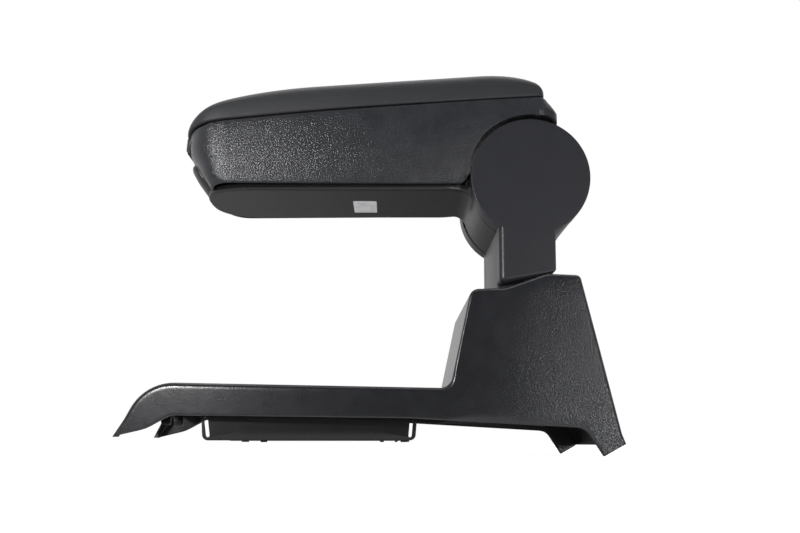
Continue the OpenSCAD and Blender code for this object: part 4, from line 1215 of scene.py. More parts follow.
@dataclass
class Post:
    """Post and hub: the two side covers and the sleeve between them.

    Attributes:
        axis_x: X of the pivot, and axis_z its height.
        cover_z: height of the covers' round heads.
        stem_x: front and rear of the stem.
        foot_z: height of the stem's foot, in front and at the rear.
        foot_r: radii of its corners.
        leg_z: height from which the foot's corners are worked out.
        front_edge: radius of the stem's front edge, where edge is the head's.
    """

    axis_x: float = 137.0
    axis_z: float = 231.0
    hub_r: float = 49.9
    saddle_r: float = 49.3
    outer_y: float = 46.0
    inner_y: float = 32.0
    stem_x: tuple = (110.0, 156.9)
    foot_z: tuple = (141.0, 152.4)
    foot_r: tuple = (5.2, 2.5)
    leg_z: float = 190.0
    cover_z: float = 232.6
    wall: float = 2.5
    edge: float = 0.6
    front_edge: float = 4.5
    rear_edge: float = 1.2
    sleeve_low: float = 98.3
    collar_half: float = 39.0

    def lollipop(self) -> tuple:
        """Outline of a cover: most of a circle, and the stem under it.

        Returns:
            The outline, anticlockwise, and the edge radius at each of its points.
        """
        steps = 5
        front, rear = self.stem_x
        start, end = (
            math.atan2(-math.sqrt(self.hub_r**2 - off**2), off)
            for off in (rear - self.axis_x, front - self.axis_x))
        turn = np.linspace(start, end + 2 * math.pi, 121)
        disc = np.c_[self.axis_x + self.hub_r * np.cos(turn), self.cover_z + self.hub_r * np.sin(turn)]
        down = np.r_[0.02, np.linspace(0, 1, 12)[1:-1]][:, None]
        front_line = lerp(disc[-1:], np.array([[front, self.foot_z[0] + 6]]), down)
        foot = rounded([
            (front, self.leg_z, 0), (front, self.foot_z[0], self.foot_r[0]),
            (rear, self.foot_z[1], self.foot_r[1]), (rear, self.leg_z, 0)], steps)[1:-1]
        rear_line = lerp(np.array([[rear, self.foot_z[1] + 3]]), disc[:1], (1 - down)[::-1])
        edge = [self.edge] * len(disc) + [self.front_edge] * (len(front_line) + steps + 1)
        edge += [self.rear_edge] * (len(foot) - steps - 1 + len(rear_line))
        return np.concatenate([disc, front_line, foot, rear_line]), np.array(edge)

    def cover(self, side: int, node: str) -> None:
        """Makes one side cover, which is open towards the sleeve.

        Args:
            side: -1 for the near side and 1 for the far side.
            node: the node that the cover stands for.
        """
        surface = Surface(f"{node}_form")
        outline, edge = self.lollipop()
        place = upright if side > 0 else lambda plane, depth: mirrored(upright(plane, depth))
        middle = (self.axis_x, self.cover_z - 20)
        surface.slab(outline, self.inner_y, self.outer_y, middle, place, edge, 5, True)
        piece = surface.build()
        face_outward(piece, Vector((self.axis_x, side * self.inner_y, self.axis_z)) * MM)
        Dress(Body.BASE, SATIN, (node,), wall=self.wall, even=False).put_on(piece)

    def sleeve(self) -> None:
        """Makes the core with its round saddle, and the collar in the pedestal's opening."""
        surface = Surface("post_sleeve_form")
        front, rear = self.stem_x
        saddle = self.saddle_r
        angles = np.linspace(
            math.acos((rear - self.axis_x) / saddle), math.acos((front - self.axis_x) / saddle), 25)
        arc = np.c_[self.axis_x + saddle * np.cos(angles), self.axis_z - saddle * np.sin(angles)]
        side = np.concatenate([[[front, self.sleeve_low], [rear, self.sleeve_low]], arc])
        surface.slab(side, -self.inner_y + 0.2, self.inner_y - 0.2, (135, 140), upright, 0.5)
        plan = rounded([
            (front, -self.collar_half, 1), (rear, -self.collar_half, 1), (rear, self.collar_half, 1),
            (front, self.collar_half, 1)], 4, True)

        def leaning(plane: np.ndarray, depth: float) -> np.ndarray:
            """Plan points at a depth in per cent of the height up to the covers' slanting feet."""
            low, high = self.foot_z[0] - 0.3, self.foot_z[1] - 0.3
            slant = low + (high - low) * (plane[:, 0] - front) / (rear - front)
            return np.c_[plane, self.sleeve_low + (slant - self.sleeve_low) * depth / 100]

        surface.slab(plan, 0.0, 100.0, (135, 0), leaning, 0.8)
        Dress(Body.BASE, SATIN, ("post_sleeve",)).put_on(surface.solid())

    def build(self) -> None:
        """Makes the post's three mouldings."""
        self.cover(-1, "left_post_cover")
        self.cover(1, "right_post_cover")
        self.sleeve()


def signed_volume(mesh: bpy.types.Mesh) -> float:
    """Volume of a mesh: the sum of a . (b x c) / 6 over its triangles.

    Args:
        mesh: a closed mesh.

    Returns:
        Cubic metres, negative where the faces point inwards.
    """
    mesh.calc_loop_triangles()
    points = np.empty(len(mesh.vertices) * 3)
    mesh.vertices.foreach_get("co", points)
    index = np.empty(len(mesh.loop_triangles) * 3, int)
    mesh.loop_triangles.foreach_get("vertices", index)
    a, b, c = np.moveaxis(points.reshape(-1, 3)[index.reshape(-1, 3)], 1, 0)
    return float(np.einsum("ij,ij->i", a, np.cross(b, c)).sum() / 6)


def outward(piece: bpy.types.Object) -> None:
    """Turns a closed piece's faces outwards."""
    if signed_volume(piece.data) < 0:
        piece.data.flip_normals()


def face_outward(piece: bpy.types.Object, centre: Vector) -> None:
    """Turns an open shell's faces away from a point inside it, going by their area.

    Args:
        piece: the shell.
        centre: the point, in metres.
    """
    faces = piece.data.polygons
    middle, normal, area = np.empty(len(faces) * 3), np.empty(len(faces) * 3), np.empty(len(faces))
    faces.foreach_get("center", middle)
    faces.foreach_get("normal", normal)
    faces.foreach_get("area", area)
    away = ((middle.reshape(-1, 3) - np.array(centre)) * normal.reshape(-1, 3)).sum(axis=1)
    if away @ area < 0:
        piece.data.flip_normals()


# Armrest


@dataclass
class UpperCasing:
    """Grained walls of the bin, from the lid seam down to the foot and the hub's arch.

    Attributes:
        rear_top_x: X of the rear wall at the seam, and rear_x below its bend.
        foot_z: height of the lower edge.
        taper: how far a side draws in over the depth wall_h, as a share of it.
        axis_x: X of the arch's centre, and axis_z its height.
        gap: how far the upper edge lies under the seam.
        rows: rows of the wall's grid.
        recess: how far the roof over the hub lies outside the arch.
        wall_h: depth of a side under the seam.
        nose_bends: the nose's bends as seen from the side, as inset, height and radius.
        nose_foot: inset and radius of the bend at its foot, and inset where it ends.
        rear_z: heights of the rear wall's top, bend and lower end.
        tongue_half: half width of the tongue up the nose, tongue_top the height of its round end
            and tongue_lift how far its middle stands out beyond its edge.
        lug_y: middles of the hinge lugs, and lug_half their half length.
        pin: X and height of the hinge pin.
    """

    nose_x: float = -158.0
    half: float = 48.0
    rear_top_x: float = 150.8
    rear_x: float = 160.8
    foot_z: float = 229.2
    taper: float = 0.118
    axis_x: float = 137.0
    axis_z: float = 232.8
    arch_r: float = 52.9
    wall: float = 2.8
    gap: float = 0.7
    rows: int = 30
    recess: float = 3.6
    wall_h: float = 72.0
    nose_bends: tuple = ((0.0, 262.0, 22.0), (9.0, 246.0, 20.0))
    nose_foot: tuple = (21.0, 8.0, 25.0)
    rear_z: tuple = (299.8, 285.7, 278.0)
    tongue_half: float = 25.0
    tongue_top: float = 257.5
    tongue_lift: float = 4.2
    lug_y: tuple = (-30.0, -6.0, 6.0, 30.0)
    lug_half: float = 5.85
    lug_r: float = 3.8
    pin: tuple = (150.3, 302.2)

    def low_edge(self, x: np.ndarray) -> np.ndarray:
        """Height of the lower edge: the foot, which rises a little to the rear, and the hub's arch.

        Args:
            x: places along the casing.

        Returns:
            One height for each place.
        """
        front, level_x, rise = self.axis_x - self.arch_r, 30, 0.4
        foot = self.foot_z + rise * np.clip((x - level_x) / (front - level_x), 0, 1) ** 2
        arch = self.axis_z + np.sqrt(np.maximum(0, self.arch_r**2 - (x - self.axis_x) ** 2))
        return np.where(x < front, foot, np.maximum(foot, arch))

    def nose_profile(self) -> tuple:
        """Profile down the nose's middle line.

        Returns:
            Insets, and heights from 1 at the seam to 0 at the foot.
        """
        top = float(SEAM.height(np.array(self.nose_x))) - self.gap
        bend, radius, end = self.nose_foot
        path = rounded([
            (0, top, 0), *self.nose_bends, (bend, self.foot_z, radius), (end, self.foot_z, 0)])
        path = at_length(path, np.linspace(0, run_length(path)[-1], self.rows))
        return path[:, 0], (path[:, 1] - self.foot_z) / (top - self.foot_z)

    def side_profile(self) -> tuple:
        """Profile down a side, with a round edge at its foot.

        Returns:
            Insets, and heights from 1 at the seam to 0 at the foot.
        """
        path = rounded([(0, self.wall_h, 0), (0, 0, 3.0), (2.0, 0, 0)])
        path = at_length(path, stations_to(path, self.rows))
        return path[:, 0], path[:, 1] / self.wall_h

    def rear_profile(self) -> tuple:
        """Profile down the rear wall.

        Returns:
            Outsets, and heights from 1 at the seam to 0 at the lower end.
        """
        top, bend, low = self.rear_z
        out = self.rear_x - self.rear_top_x
        path = rounded([(0, top, 0), (out, bend, 6), (out, low, 0)])
        path = at_length(path, np.linspace(0, run_length(path)[-1], self.rows))
        return path[:, 0], (path[:, 1] - low) / (top - low)

    def wall_grid(self) -> np.ndarray:
        """Rows from the seam to the lower edge, columns round the plan outline.

        Each column blends the nose's, the side's and the rear's profile by the plan normal's x,
        at the rear by its square, and moves the outline's point along that normal by the blended
        inset. A side draws in by taper * (depth under the seam)^2 / wall_h.

        Returns:
            Closed loop of points.
        """
        front = self.axis_x - self.arch_r
        plan = PodOutline(self.nose_x, self.half, self.rear_top_x)
        start = self.rear_top_x - plan.corner
        over_hub = self.axis_x - self.arch_r * np.cos(np.pi * np.linspace(0, 1, 36))
        over_hub = over_hub[over_hub < start - 0.5][::-1]
        ahead = np.linspace(front, self.nose_x + plan.nose_run, 42)[1:-1]
        outline = plan.loop(np.concatenate([[start], over_hub, ahead]))
        inward = left_normals(outline, closed=True)
        facing = inward[:, 0]
        nose = np.clip(facing, 0, 1)
        rear = np.clip(-facing, 0, 1) ** 2
        side = 1 - nose - rear
        top = SEAM.height(outline[:, 0]) - self.gap
        nose_in, nose_h = self.nose_profile()
        side_in, side_h = self.side_profile()
        rear_out, rear_h = self.rear_profile()
        share = nose_h[:, None] * nose + side_h[:, None] * side + rear_h[:, None] * rear
        on_foot = (outline[:, 0] < front)[None]
        plain = np.linspace(1, 0, self.rows)[:, None]
        share = np.where(on_foot, share, plain * (1 - rear) + rear_h[:, None] * rear)
        inset = np.zeros_like(share)
        for _ in range(3):
            x = outline[:, 0] + inward[:, 0] * inset
            low = self.low_edge(x)
            z = low + (top - low) * share
            drawn = self.taper * (top - z) ** 2 / self.wall_h + np.where(on_foot, side_in[:, None], 0)
            inset = nose_in[:, None] * nose + drawn * side - rear_out[:, None] * rear
        x = outline[:, 0] + inward[:, 0] * inset
        y = outline[:, 1] + inward[:, 1] * inset
        grid = np.stack([x, y, z], axis=-1)
        return np.concatenate([grid, grid[:, :1]], axis=1)

    def arch_roof(self) -> bpy.types.Object:
        """Roof over the hub, set back above the arches in the walls: a curve swept across the casing.

        At the angle a from the front its radius is arch_r + recess * sin(a)^0.4.

        Returns:
            The roof, an open sheet.
        """
        end, draw = math.radians(110), 3.2
        turn = np.linspace(0.0, end, 45)[:, None]
        radius = self.arch_r + self.recess * np.sin(turn) ** 0.4
        across = np.linspace(-1, 1, 5)[None] * (self.half - self.wall - draw)
        x = self.axis_x - radius * np.cos(turn) + 0 * across
        z = self.axis_z + radius * np.sin(turn) + 0 * across
        surface = Surface("arch_roof")
        surface.grid(np.stack([x, across + 0 * x, z], axis=-1))
        return surface.build()

    def tongue(self, wall: np.ndarray) -> np.ndarray:
        """Smooth tongue up the nose: a patch of the wall's grid with a round top, set a little proud.

        The patch is read from the wall's grid between its points, and its top is a superellipse
        with the exponent power. It stands out by low + tongue_lift * (1 - across^2), its border
        turns down in a quarter circle and sinks into the wall, and it runs out evenly at the foot.

        Args:
            wall: the wall's grid.

        Returns:
            The patch's points.
        """
        normal = np.cross(np.gradient(wall, axis=0), np.gradient(wall, axis=1))
        normal /= np.maximum(np.linalg.norm(normal, axis=2, keepdims=True), 1e-9)
        rows, columns, span, row_at = 25, 33, 30, 8
        low, sunk, power = 0.9, 0.4, 3.5
        middle = (wall.shape[1] - 1) // 2
        across = np.linspace(-1, 1, columns)
        reach = np.interp(self.tongue_half, np.abs(wall[row_at, middle:middle + span, 1]), np.arange(span))
        column = middle + across * reach
        top_row = np.interp(-self.tongue_top, -wall[:, middle, 2], np.arange(len(wall)))
        crown = top_row + (len(wall) - 1 - top_row) * (1 - (1 - np.abs(across) ** power) ** (1 / power))
        down = np.linspace(0, 1, rows)[:, None]
        row = crown + (len(wall) - 1 - crown) * down
        base = between(wall, row, column)
        lift = between(normal, row, column)
        edge = np.clip(np.minimum(1 - np.abs(across)[None], down) * 7, 0, 1)
        height = (low + self.tongue_lift * (1 - across[None] ** 2)) * np.sqrt(1 - (1 - edge) ** 2)
        height = height * np.clip((1 - down) * 5, 0, 1) - sunk
        sign = -1.0 if lift[rows // 2, columns // 2, 0] > 0 else 1.0
        return base + sign * lift * height[..., None]

    def build(self) -> None:
        """Makes the casing with its hinge lugs and the tongue that the lower casing sends up its nose."""
        wall = self.wall_grid()
        nose = Surface("nose_tongue")
        nose.grid(self.tongue(wall))
        piece = nose.build()
        face_outward(piece, Vector((0, 0, 260)) * MM)
        Dress(Body.ARMREST, SMOOTH).put_on(piece)
        surface = Surface("upper_casing_form")
        surface.grid(wall)
        piece = surface.build()
        shell = Dress(Body.ARMREST, GRAINED, ("upper_casing",), wall=self.wall, edge=0.7, segments=3)
        shell.thicken(piece)
        subtract(piece, latch_recess(-150.0))
        shell.put_on(piece)
        roof = self.arch_roof()
        face_outward(roof, Vector((self.axis_x, 0, 330)) * MM)
        Dress(Body.ARMREST, GRAINED, wall=1.2).put_on(roof)
        Dress(Body.ARMREST, GRAINED).put_on(self.lugs())

    def lugs(self) -> bpy.types.Object:
        """Lugs round the hinge pin, each a round eye on a block that runs down into the rear wall.

        Returns:
            All lugs in one piece.
        """
        lugs = Surface("hinge_lugs")
        x, z = self.pin
        front, rear, low = x - 1.2, x + self.lug_r, z - 11.7
        block = np.array([(front, low), (rear, low), (rear, z), (front, z)])
        for y in self.lug_y:
            lugs.rod((x, y - self.lug_half, z), (x, y + self.lug_half, z), self.lug_r, 0.4)
            lugs.slab(block, y - self.lug_half, y + self.lug_half, (151.5, 296), upright, 0.3)
        return lugs.build()


def stations_to(path: np.ndarray, count: int) -> np.ndarray:
    """Distances along a path, spaced by its turn for 0.4 and by its length for 0.6.

    Args:
        path: the path's points.
        count: how many distances.

    Returns:
        The distances.
    """
    run = run_length(path)
    even = np.linspace(0, run[-1], 400)
    points = at_length(path, even)
    tangent = np.gradient(points, axis=0)
    angle = np.unwrap(np.arctan2(tangent[:, 1], tangent[:, 0]))
    weight = np.concatenate([[0], np.cumsum(np.abs(np.diff(angle)))])
    weight = weight / max(weight[-1], 1e-9) * 0.4 + even / run[-1] * 0.6
    return np.interp(np.linspace(0, 1, count), weight, even)


@dataclass
class LowerCasing:
    """Smooth floor of the casing with a round edge, the barrel about the hub and the blank label.

    Attributes:
        nose_run: length of the nose's curve, and nose_power its exponent.
        under_z: height of the underside, and top_z of the floor's upper edge.
        edge: radius of its lower edge.
        barrel_half: half width of the barrel, where half is the floor's.
        barrel_turn: how far the barrel goes round, in degrees.
        fillet: radius of the blend between floor and barrel.
        narrow_x: between which places the floor narrows to the barrel.
        label: corners of the label as seen from above, as x, y and radius.
    """

    nose_x: float = -143.2
    half: float = 34.7
    nose_run: float = 46.0
    nose_power: float = 2.5
    under_z: float = 226.2
    top_z: float = 231.5
    edge: float = 2.4
    axis_x: float = 137.0
    axis_z: float = 231.0
    barrel_r: float = 48.5
    barrel_half: float = 31.9
    barrel_turn: float = 345.0
    fillet: float = 12.0
    narrow_x: tuple = (66.0, 84.0)
    label: tuple = ((-14, -8.5, 1), (7, -8.5, 1), (7, 19, 1), (-14, 19, 1))

    def section(self) -> tuple:
        """Cross-section from the floor's upper edge round the lower one to its middle line.

        Returns:
            Share of the half width, inset and rise, each with one value for each ring.
        """
        turn = np.linspace(0, np.pi / 2, 7)
        inset = np.concatenate([[0], self.edge * (1 - np.cos(turn)), np.full(10, self.edge)])
        rise = np.concatenate([[self.top_z - self.under_z], self.edge * (1 - np.sin(turn)), np.zeros(10)])
        share = np.concatenate([np.ones(8), 1 - np.linspace(0, 1, 11)[1:]])
        return share, inset, rise

    def blend_x(self) -> float:
        """Where the fillet under the barrel leaves the floor."""
        reach = self.barrel_r + self.fillet
        return self.axis_x - math.sqrt(reach**2 - (self.axis_z - self.under_z + self.fillet) ** 2)

    def half_at(self, x: np.ndarray) -> np.ndarray:
        """Half width, which goes from the floor's to the barrel's by t^2 * (3 - 2 * t).

        Args:
            x: places along the casing.

        Returns:
            One half width for each place.
        """
        start, end = self.narrow_x
        t = np.clip((x - start) / (end - start), 0, 1)
        return self.half - (self.half - self.barrel_half) * t * t * (3 - 2 * t)

    def floor(self, surface: Surface) -> None:
        """Adds the floor: rings that follow the plan outline inwards to a spine on the middle line.

        Args:
            surface: what the floor goes into.
        """
        end, past = self.blend_x(), 40
        outline = PodOutline(
            self.nose_x, self.half, end + past, self.nose_run, power=self.nose_power, corner=1.0)
        loop = outline.loop(np.linspace(end, self.nose_x + self.nose_run, 56)[:-1], 26, 2)
        loop = loop[loop[:, 0] <= end + 0.01]
        inward = left_normals(loop)
        inward[[0, -1]] = [[0, -1], [0, 1]]
        loop[:, 1] *= self.half_at(loop[:, 0]) / self.half
        spine = np.c_[np.clip(loop[:, 0], self.nose_x + 34, end), np.zeros(len(loop))]
        rings = []
        for share, inset, rise in zip(*self.section()):
            plan = lerp(spine, loop + inward * inset, share)
            rings.append(np.c_[plan, np.full(len(plan), self.under_z + rise)])
        surface.grid(np.stack(rings), flip=True)

    def under_path(self) -> np.ndarray:
        """Side path from the floor's underside through the blend and on round the barrel.

        Returns:
            Points (x, z) on two arcs, of the fillet's radius and of the barrel's.
        """
        centre = np.array([self.blend_x(), self.under_z - self.fillet])
        hub = np.array([self.axis_x, self.axis_z])
        to_hub = hub - centre
        end = math.atan2(to_hub[1], to_hub[0])
        turn = np.linspace(math.pi / 2, end, 15)
        blend = centre + self.fillet * np.c_[np.cos(turn), np.sin(turn)]
        turn = np.linspace(end + math.pi, end + math.pi + math.radians(self.barrel_turn), 110)[1:]
        barrel = hub + self.barrel_r * np.c_[np.cos(turn), np.sin(turn)]
        return np.concatenate([blend, barrel])

    def barrel(self, surface: Surface) -> None:
        """Adds the barrel: the floor's cross-section carried along the side path.

        Args:
            surface: what the barrel goes into.
        """
        path = self.under_path()
        inward = left_normals(path)
        share, inset, rise = self.section()
        share = np.concatenate([share, -share[:-1][::-1]])
        inset = np.concatenate([inset, inset[:-1][::-1]])
        rise = np.concatenate([rise, rise[:-1][::-1]])
        half = self.half_at(path[:, :1])
        y = share * (half - inset)
        x = path[:, :1] + inward[:, :1] * rise
        z = path[:, 1:] + inward[:, 1:] * rise
        surface.grid(np.stack([x, y, z], axis=-1), flip=True)

    def build(self) -> None:
        """Makes the lower casing and the blank label on its underside."""
        surface = Surface("lower_casing_form")
        self.floor(surface)
        self.barrel(surface)
        Dress(Body.ARMREST, SMOOTH, ("lower_casing",)).put_on(surface.build())
        label = Surface("blank_label")
        shape = rounded(self.label, 4, True)
        label.slab(shape, self.under_z - 0.15, self.under_z + 0.1, (-3, 5), lying, 0.05)
        Dress(Body.ARMREST, LABEL).put_on(label.solid())


# Lid


@dataclass
class Lid:
    """Padded lid: a crowned pad with a rolled lower edge.

    Attributes:
        crown_z: height of the top's slope at crown_x, and crown_slope its rise to the rear.
        nose_fade: run over which the top falls to the nose, and nose_fall how far it falls.
        tail_fade: the same at the tail, with tail_fall.
        roll: radius of the lower edge.
        lip: width of the rim under the pad, and pocket the height of the pocket inside it.
        gap: gap over the seam at the hinge, and wider how much more it is towards the nose.
        bulge: exponents of the crown across and up, and nose_bulge what the nose adds to them.
    """

    nose_x: float = -160.6
    tail_x: float = 149.8
    half: float = 48.0
    crown_z: float = 324.5
    crown_x: float = 88.0
    crown_slope: float = 0.0665
    nose_fade: float = 116.0
    nose_fall: float = 31.0
    tail_fade: float = 55.0
    tail_fall: float = 22.0
    roll: float = 1.6
    lip: float = 2.9
    pocket: float = 3.9
    gap: float = 0.7
    wider: float = 1.2
    bulge: tuple = (0.37, 0.37)
    nose_bulge: tuple = (0.25, 0.3)

    def top(self, x: np.ndarray) -> np.ndarray:
        """Height of the middle line: a slope with a quarter ellipse taken off at the nose and tail.

        Args:
            x: places along the lid.

        Returns:
            One height for each place.
        """
        t = np.clip((self.nose_x + self.nose_fade - x) / self.nose_fade, 0, 1)
        s = np.clip((x - self.tail_x + self.tail_fade) / self.tail_fade, 0, 1)
        slope = self.crown_z + self.crown_slope * (x - self.crown_x)
        return slope - self.nose_fall * (1 - np.sqrt(1 - t * t)) - self.tail_fall * (1 - np.sqrt(1 - s * s))

    def gap_at(self, x: np.ndarray) -> np.ndarray:
        """Gap over the seam at x, which widens over the lid's middle."""
        start_x, run = 70, 100
        return self.gap + self.wider * np.clip((start_x - x) / run, 0, 1)

    def pad_rings(self) -> np.ndarray:
        """Rings from the pocket's middle, round the lower edge and up over the crown.

        Over the crown, ring by ring, an outline point moves towards the spine by cos(a)^p and
        rises by sin(a)^q of the height at that place, as on a superellipse. The nose's exponents
        are larger, which makes it rounder.

        Returns:
            Rows of rings, columns round the outline.
        """
        plan = PodOutline(self.nose_x, self.half, self.tail_x)
        side = np.linspace(self.tail_x - plan.corner, self.nose_x + plan.nose_run, 60)[:-1]
        outline = plan.loop(side, 30, 12)
        inward = looped(left_normals(outline, closed=True))
        outline = looped(outline)
        spine = np.c_[np.clip(outline[:, 0], self.nose_x + 50, self.tail_x - 30), np.zeros(len(outline))]
        nose = np.clip(inward[:, 0], 0, 1) ** 2
        low = SEAM.height(outline[:, 0]) + self.gap_at(outline[:, 0])
        turn = np.linspace(0, np.pi / 2, 5)
        ceiling = SEAM.height(outline[:, 0]) + self.gap + self.pocket
        rings = [
            np.c_[spine, SEAM.height(spine[:, 0]) + self.gap + self.pocket],
            np.c_[outline + inward * self.lip, ceiling],
            np.c_[outline + inward * self.lip, low]]
        rings += [
            np.c_[outline + inward * self.roll * (1 - math.sin(a)), low + self.roll * (1 - math.cos(a))]
            for a in turn]
        out_power, up_power = (flat + more * nose for flat, more in zip(self.bulge, self.nose_bulge))
        for a in np.radians([4, 9, 15, 22, 30, 38, 46, 54, 62, 69, 76, 82, 86, 90]):
            out = np.abs(math.cos(a)) ** out_power
            ring = lerp(spine, outline, out[:, None])
            base = SEAM.height(ring[:, 0]) + self.gap_at(ring[:, 0]) + self.roll
            rings.append(np.c_[ring, base + (self.top(ring[:, 0]) - base) * math.sin(a) ** up_power])
        return np.stack(rings)

    def build(self) -> None:
        """Makes the pad, with its recess for the button."""
        surface = Surface("lid_pad_form")
        surface.grid(self.pad_rings(), flip=True)
        pad = surface.solid()
        subtract(pad, latch_recess(-135.6))
        Dress(Body.LID, SKIN, ("lid_pad",), sharp=40).put_on(pad)


def latch_recess(rear_x: float) -> bpy.types.Object:
    """Cutting body for the button's recess, which the lid and the casing share.

    Args:
        rear_x: how far back the recess reaches.

    Returns:
        The body, which starts ahead of the nose.
    """
    cutter = Surface("latch_recess")
    front_x, half, head = -175, 12.8, 285
    shape = rounded([(front_x, 266.4, 0), (rear_x, 269.5, 0), (rear_x, head, 2), (front_x, head, 0)], 4, True)
    cutter.slab(shape, -half, half, (-155, 276), upright, 1.4)
    return cutter.solid()


@dataclass
class LatchButton:
    """Push button in the lid's nose.

    Attributes:
        low: heights of its lower side at the front and at the rear.
        high: height of its upper side.
        edge: radius of its side edges.
    """

    front_x: float = -163.6
    rear_x: float = -150.0
    half: float = 12.0
    low: tuple = (267.9, 274.0)
    high: float = 284.4
    edge: float = 1.4

    def build(self) -> None:
        """Makes the button."""
        surface = Surface("latch_button_form")
        shape = rounded([
            (self.front_x, self.low[0], 2.5), (self.rear_x, self.low[1], 0.5), (self.rear_x, self.high, 0.5),
            (self.front_x + 1.5, self.high, 3.5)], 6, True)
        surface.slab(shape, -self.half, self.half, (-158, 276), upright, self.edge, 5)
        Dress(Body.LATCH, SMOOTH, ("latch_button",)).put_on(surface.solid())


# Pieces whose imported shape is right


@dataclass
class Softened:
    """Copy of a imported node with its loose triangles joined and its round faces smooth."""

    node: str
    body: Body
    finish: Finish

    def build(self) -> None:
        """Joins the node's triangles and smooths them."""
        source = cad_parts[self.node]
        mesh = source.data.copy()
        mesh.name = f"{self.node}_form"
        mesh.transform(source.matrix_world)
        weld(mesh)
        piece = bpy.data.objects.new(f"{self.node}_form", mesh)
        bpy.context.scene.collection.objects.link(piece)
        Dress(self.body, self.finish, (self.node,)).put_on(piece)


@dataclass
class HiddenPieces:
    """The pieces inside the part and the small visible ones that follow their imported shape."""

    plan: dict = field(default_factory=lambda: {
        Body.BASE: {
            "tray_mat": RUBBER, "post_bracket": STEEL, "pivot_bolt": STEEL, "pivot_nut": STEEL,
            "pivot_washers": STEEL},
        Body.ARMREST: {
            "armrest_bin": SMOOTH, "bin_mat": FELT, "arm_frame": STEEL, "hub_tube": STEEL,
            "hub_bushes": NYLON, "casing_screws": STEEL, "frame_screws": STEEL,
            "striker_plate": STEEL, "lid_hinge_pin": STEEL, "lid_bumpers": RUBBER},
        Body.LID: {"lid_base": SMOOTH, "lid_lining": FELT, "latch_housing": SATIN},
        Body.LATCH: {"latch_hook": STEEL}})

    def build(self) -> None:
        """Makes each smoothed copy."""
        for body, nodes in self.plan.items():
            for node, finish in nodes.items():
                Softened(node, body, finish).build()


# Studio


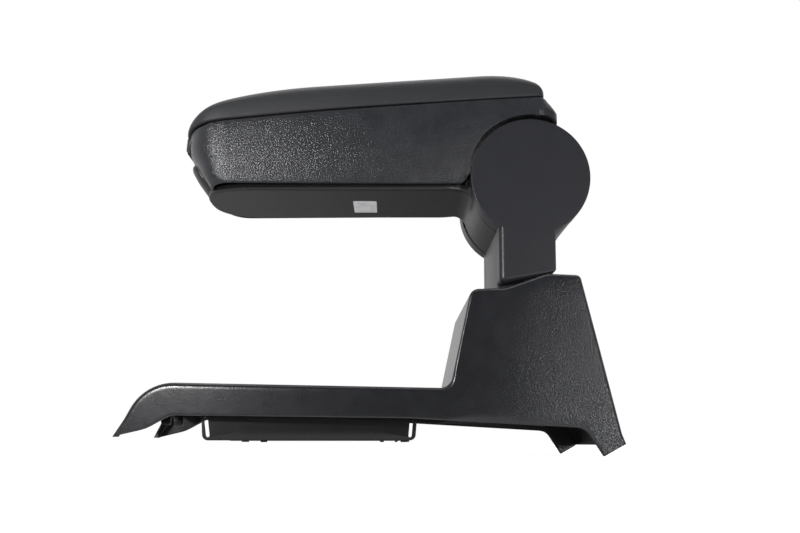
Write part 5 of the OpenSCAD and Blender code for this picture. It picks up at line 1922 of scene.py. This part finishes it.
@dataclass
class Studio:
    """Floor, world, lamps and camera.

    Attributes:
        eye: the camera's place, and pitch how many degrees it looks up.
        lens: focal length for a sensor 36 mm wide.
        shift: the picture's shift, which the photograph's framing needs.
        aim: the point that the lamps face.
        near: Y in metres where the bright strip of floor starts, is full, weakens and ends.
    """

    eye: tuple = (20.6, -559.1, 9.95)
    pitch: float = 4.0
    lens: float = 28.394
    shift: tuple = (0.0104, 0.1662)
    aim: tuple = (20.0, 0.0, 170.0)
    near: tuple = (-0.3, -0.22, -0.14, -0.06)
    floor_z: float = -0.15
    floor_size: float = 20000.0

    def camera(self) -> None:
        """Puts the camera at the photograph's viewing angle."""
        data = bpy.data.cameras.new("camera")
        data.lens = self.lens
        data.sensor_width = 36.0
        data.shift_x, data.shift_y = self.shift
        data.clip_start, data.clip_end = 0.01, 50.0
        data.dof.use_dof = False
        made = bpy.data.objects.new("camera", data)
        made.location = Vector(self.eye) * MM
        made.rotation_euler = (math.radians(90 + self.pitch), 0.0, 0.0)
        bpy.context.scene.collection.objects.link(made)
        bpy.context.scene.camera = made

    def floor(self) -> None:
        """Lays a pale floor under the wing tips that the part stands on.

        To the camera it is nearly white and keeps the part's shadow. In the part it shows as a
        bright strip in front and a weaker field behind that fades to the rear of the car.
        """
        reach = np.linspace(-0.5, 0.5, 3) * self.floor_size
        x, y = np.meshgrid(reach, reach, indexing="ij")
        surface = Surface("floor")
        surface.grid(np.stack([x, y, np.full_like(x, self.floor_z)], axis=-1))
        floor = surface.build()
        made = bpy.data.materials.new("floor")
        made.use_nodes = True
        shader = Shader(made.node_tree)
        matte = shader.node("ShaderNodeBsdfDiffuse", None, {"Color": (0.86, 0.86, 0.86, 1.0)})
        path = shader.node("ShaderNodeLightPath")
        seen = shader.signal(path, "Is Camera Ray")
        in_mirror = shader.signal(path, "Is Glossy Ray")
        away = shader.signal(shader.node(
            "ShaderNodeVectorMath", {"operation": "LENGTH"}, {0: shader.place()}), "Value")
        spot = shader.node("ShaderNodeSeparateXYZ", None, {0: shader.place()})
        along, across = shader.signal(spot, "X"), shader.signal(spot, "Y")
        near = (1 - across.between(*self.near[2:])) * across.between(*self.near[:2])
        behind = across.between(-0.1, 0.1) * (0.42 - 0.38 * along.between(-0.3, 0.1))
        behind = behind * (1 - 0.9 * across.between(0.55, 0.9))
        strength = seen * 1.35 + in_mirror * (0.05 + 1.2 * near + behind)
        glow = shader.node("ShaderNodeEmission", None, {"Color": WHITE, "Strength": strength})
        factor = seen * (0.7 + 0.3 * away.between(0.3, 0.6)) + in_mirror * 0.8
        mixed = shader.node("ShaderNodeMixShader", None, {0: factor, 1: matte.outputs[0], 2: glow.outputs[0]})
        shader.node("ShaderNodeOutputMaterial", None, {"Surface": mixed.outputs[0]})
        floor.data.materials.append(made)

    def world(self) -> None:
        """A white room that is brighter behind and above the part. The camera sees it plain white."""
        world = bpy.data.worlds.new("room")
        world.use_nodes = True
        bpy.context.scene.world = world
        shader = Shader(world.node_tree)
        path = shader.node("ShaderNodeLightPath")
        direction = shader.node("ShaderNodeTexCoord").outputs["Generated"]
        brightest = (-0.2, 0.93, 0.3)
        toward = shader.node(
            "ShaderNodeVectorMath", {"operation": "DOT_PRODUCT"}, {0: direction, 1: brightest})
        level = shader.signal(toward, "Value").between(-0.6, 0.55) * 0.64 + 0.08
        lit = shader.node("ShaderNodeBackground", None, {"Color": WHITE, "Strength": level})
        white = shader.node("ShaderNodeBackground", None, {"Color": WHITE, "Strength": 1.0})
        seen = shader.signal(path, "Is Camera Ray") + shader.signal(path, "Is Transmission Ray")
        mixed = shader.node("ShaderNodeMixShader", None, {0: seen, 1: lit.outputs[0], 2: white.outputs[0]})
        shader.node("ShaderNodeOutputWorld", None, {"Surface": mixed.outputs[0]})

    def lamp(self, name: str, place: tuple, size: tuple, power: float) -> None:
        """Hangs one soft rectangular lamp that faces the part.

        Args:
            name: the lamp's name.
            place: its centre, in millimetres.
            size: its width and height, in millimetres.
            power: its power in watts.
        """
        data = bpy.data.lights.new(name, "AREA")
        data.shape = "RECTANGLE"
        data.size, data.size_y = size[0] * MM, size[1] * MM
        data.energy = power
        made = bpy.data.objects.new(name, data)
        made.location = Vector(place) * MM
        ahead = Vector(self.aim) * MM - made.location
        made.rotation_euler = ahead.to_track_quat("-Z", "Y").to_euler()
        bpy.context.scene.collection.objects.link(made)

    def build(self) -> None:
        """Sets the studio up."""
        bpy.context.scene.view_settings.view_transform = "Standard"
        self.camera()
        self.floor()
        self.world()
        self.lamp("left_softbox", (-970.0, -1650.0, 540.0), (170.0, 150.0), 19.0)
        self.lamp("right_softbox", (950.0, -1500.0, 150.0), (260.0, 260.0), 7.0)
        self.lamp("top_softbox", (0.0, 100.0, 1700.0), (1500.0, 1100.0), 9.0)


def main() -> None:
    """Builds the part, piece by piece, and the studio round it."""
    logging.basicConfig(level=logging.INFO, format="%(message)s")
    parts = (
        ConsoleCover(), Tray(), Post(), UpperCasing(), LowerCasing(), Lid(), LatchButton(), HiddenPieces())
    for part in parts:
        log.info("building %s", type(part).__name__)
        part.build()
    Studio().build()


if __name__ == "__main__":
    main()
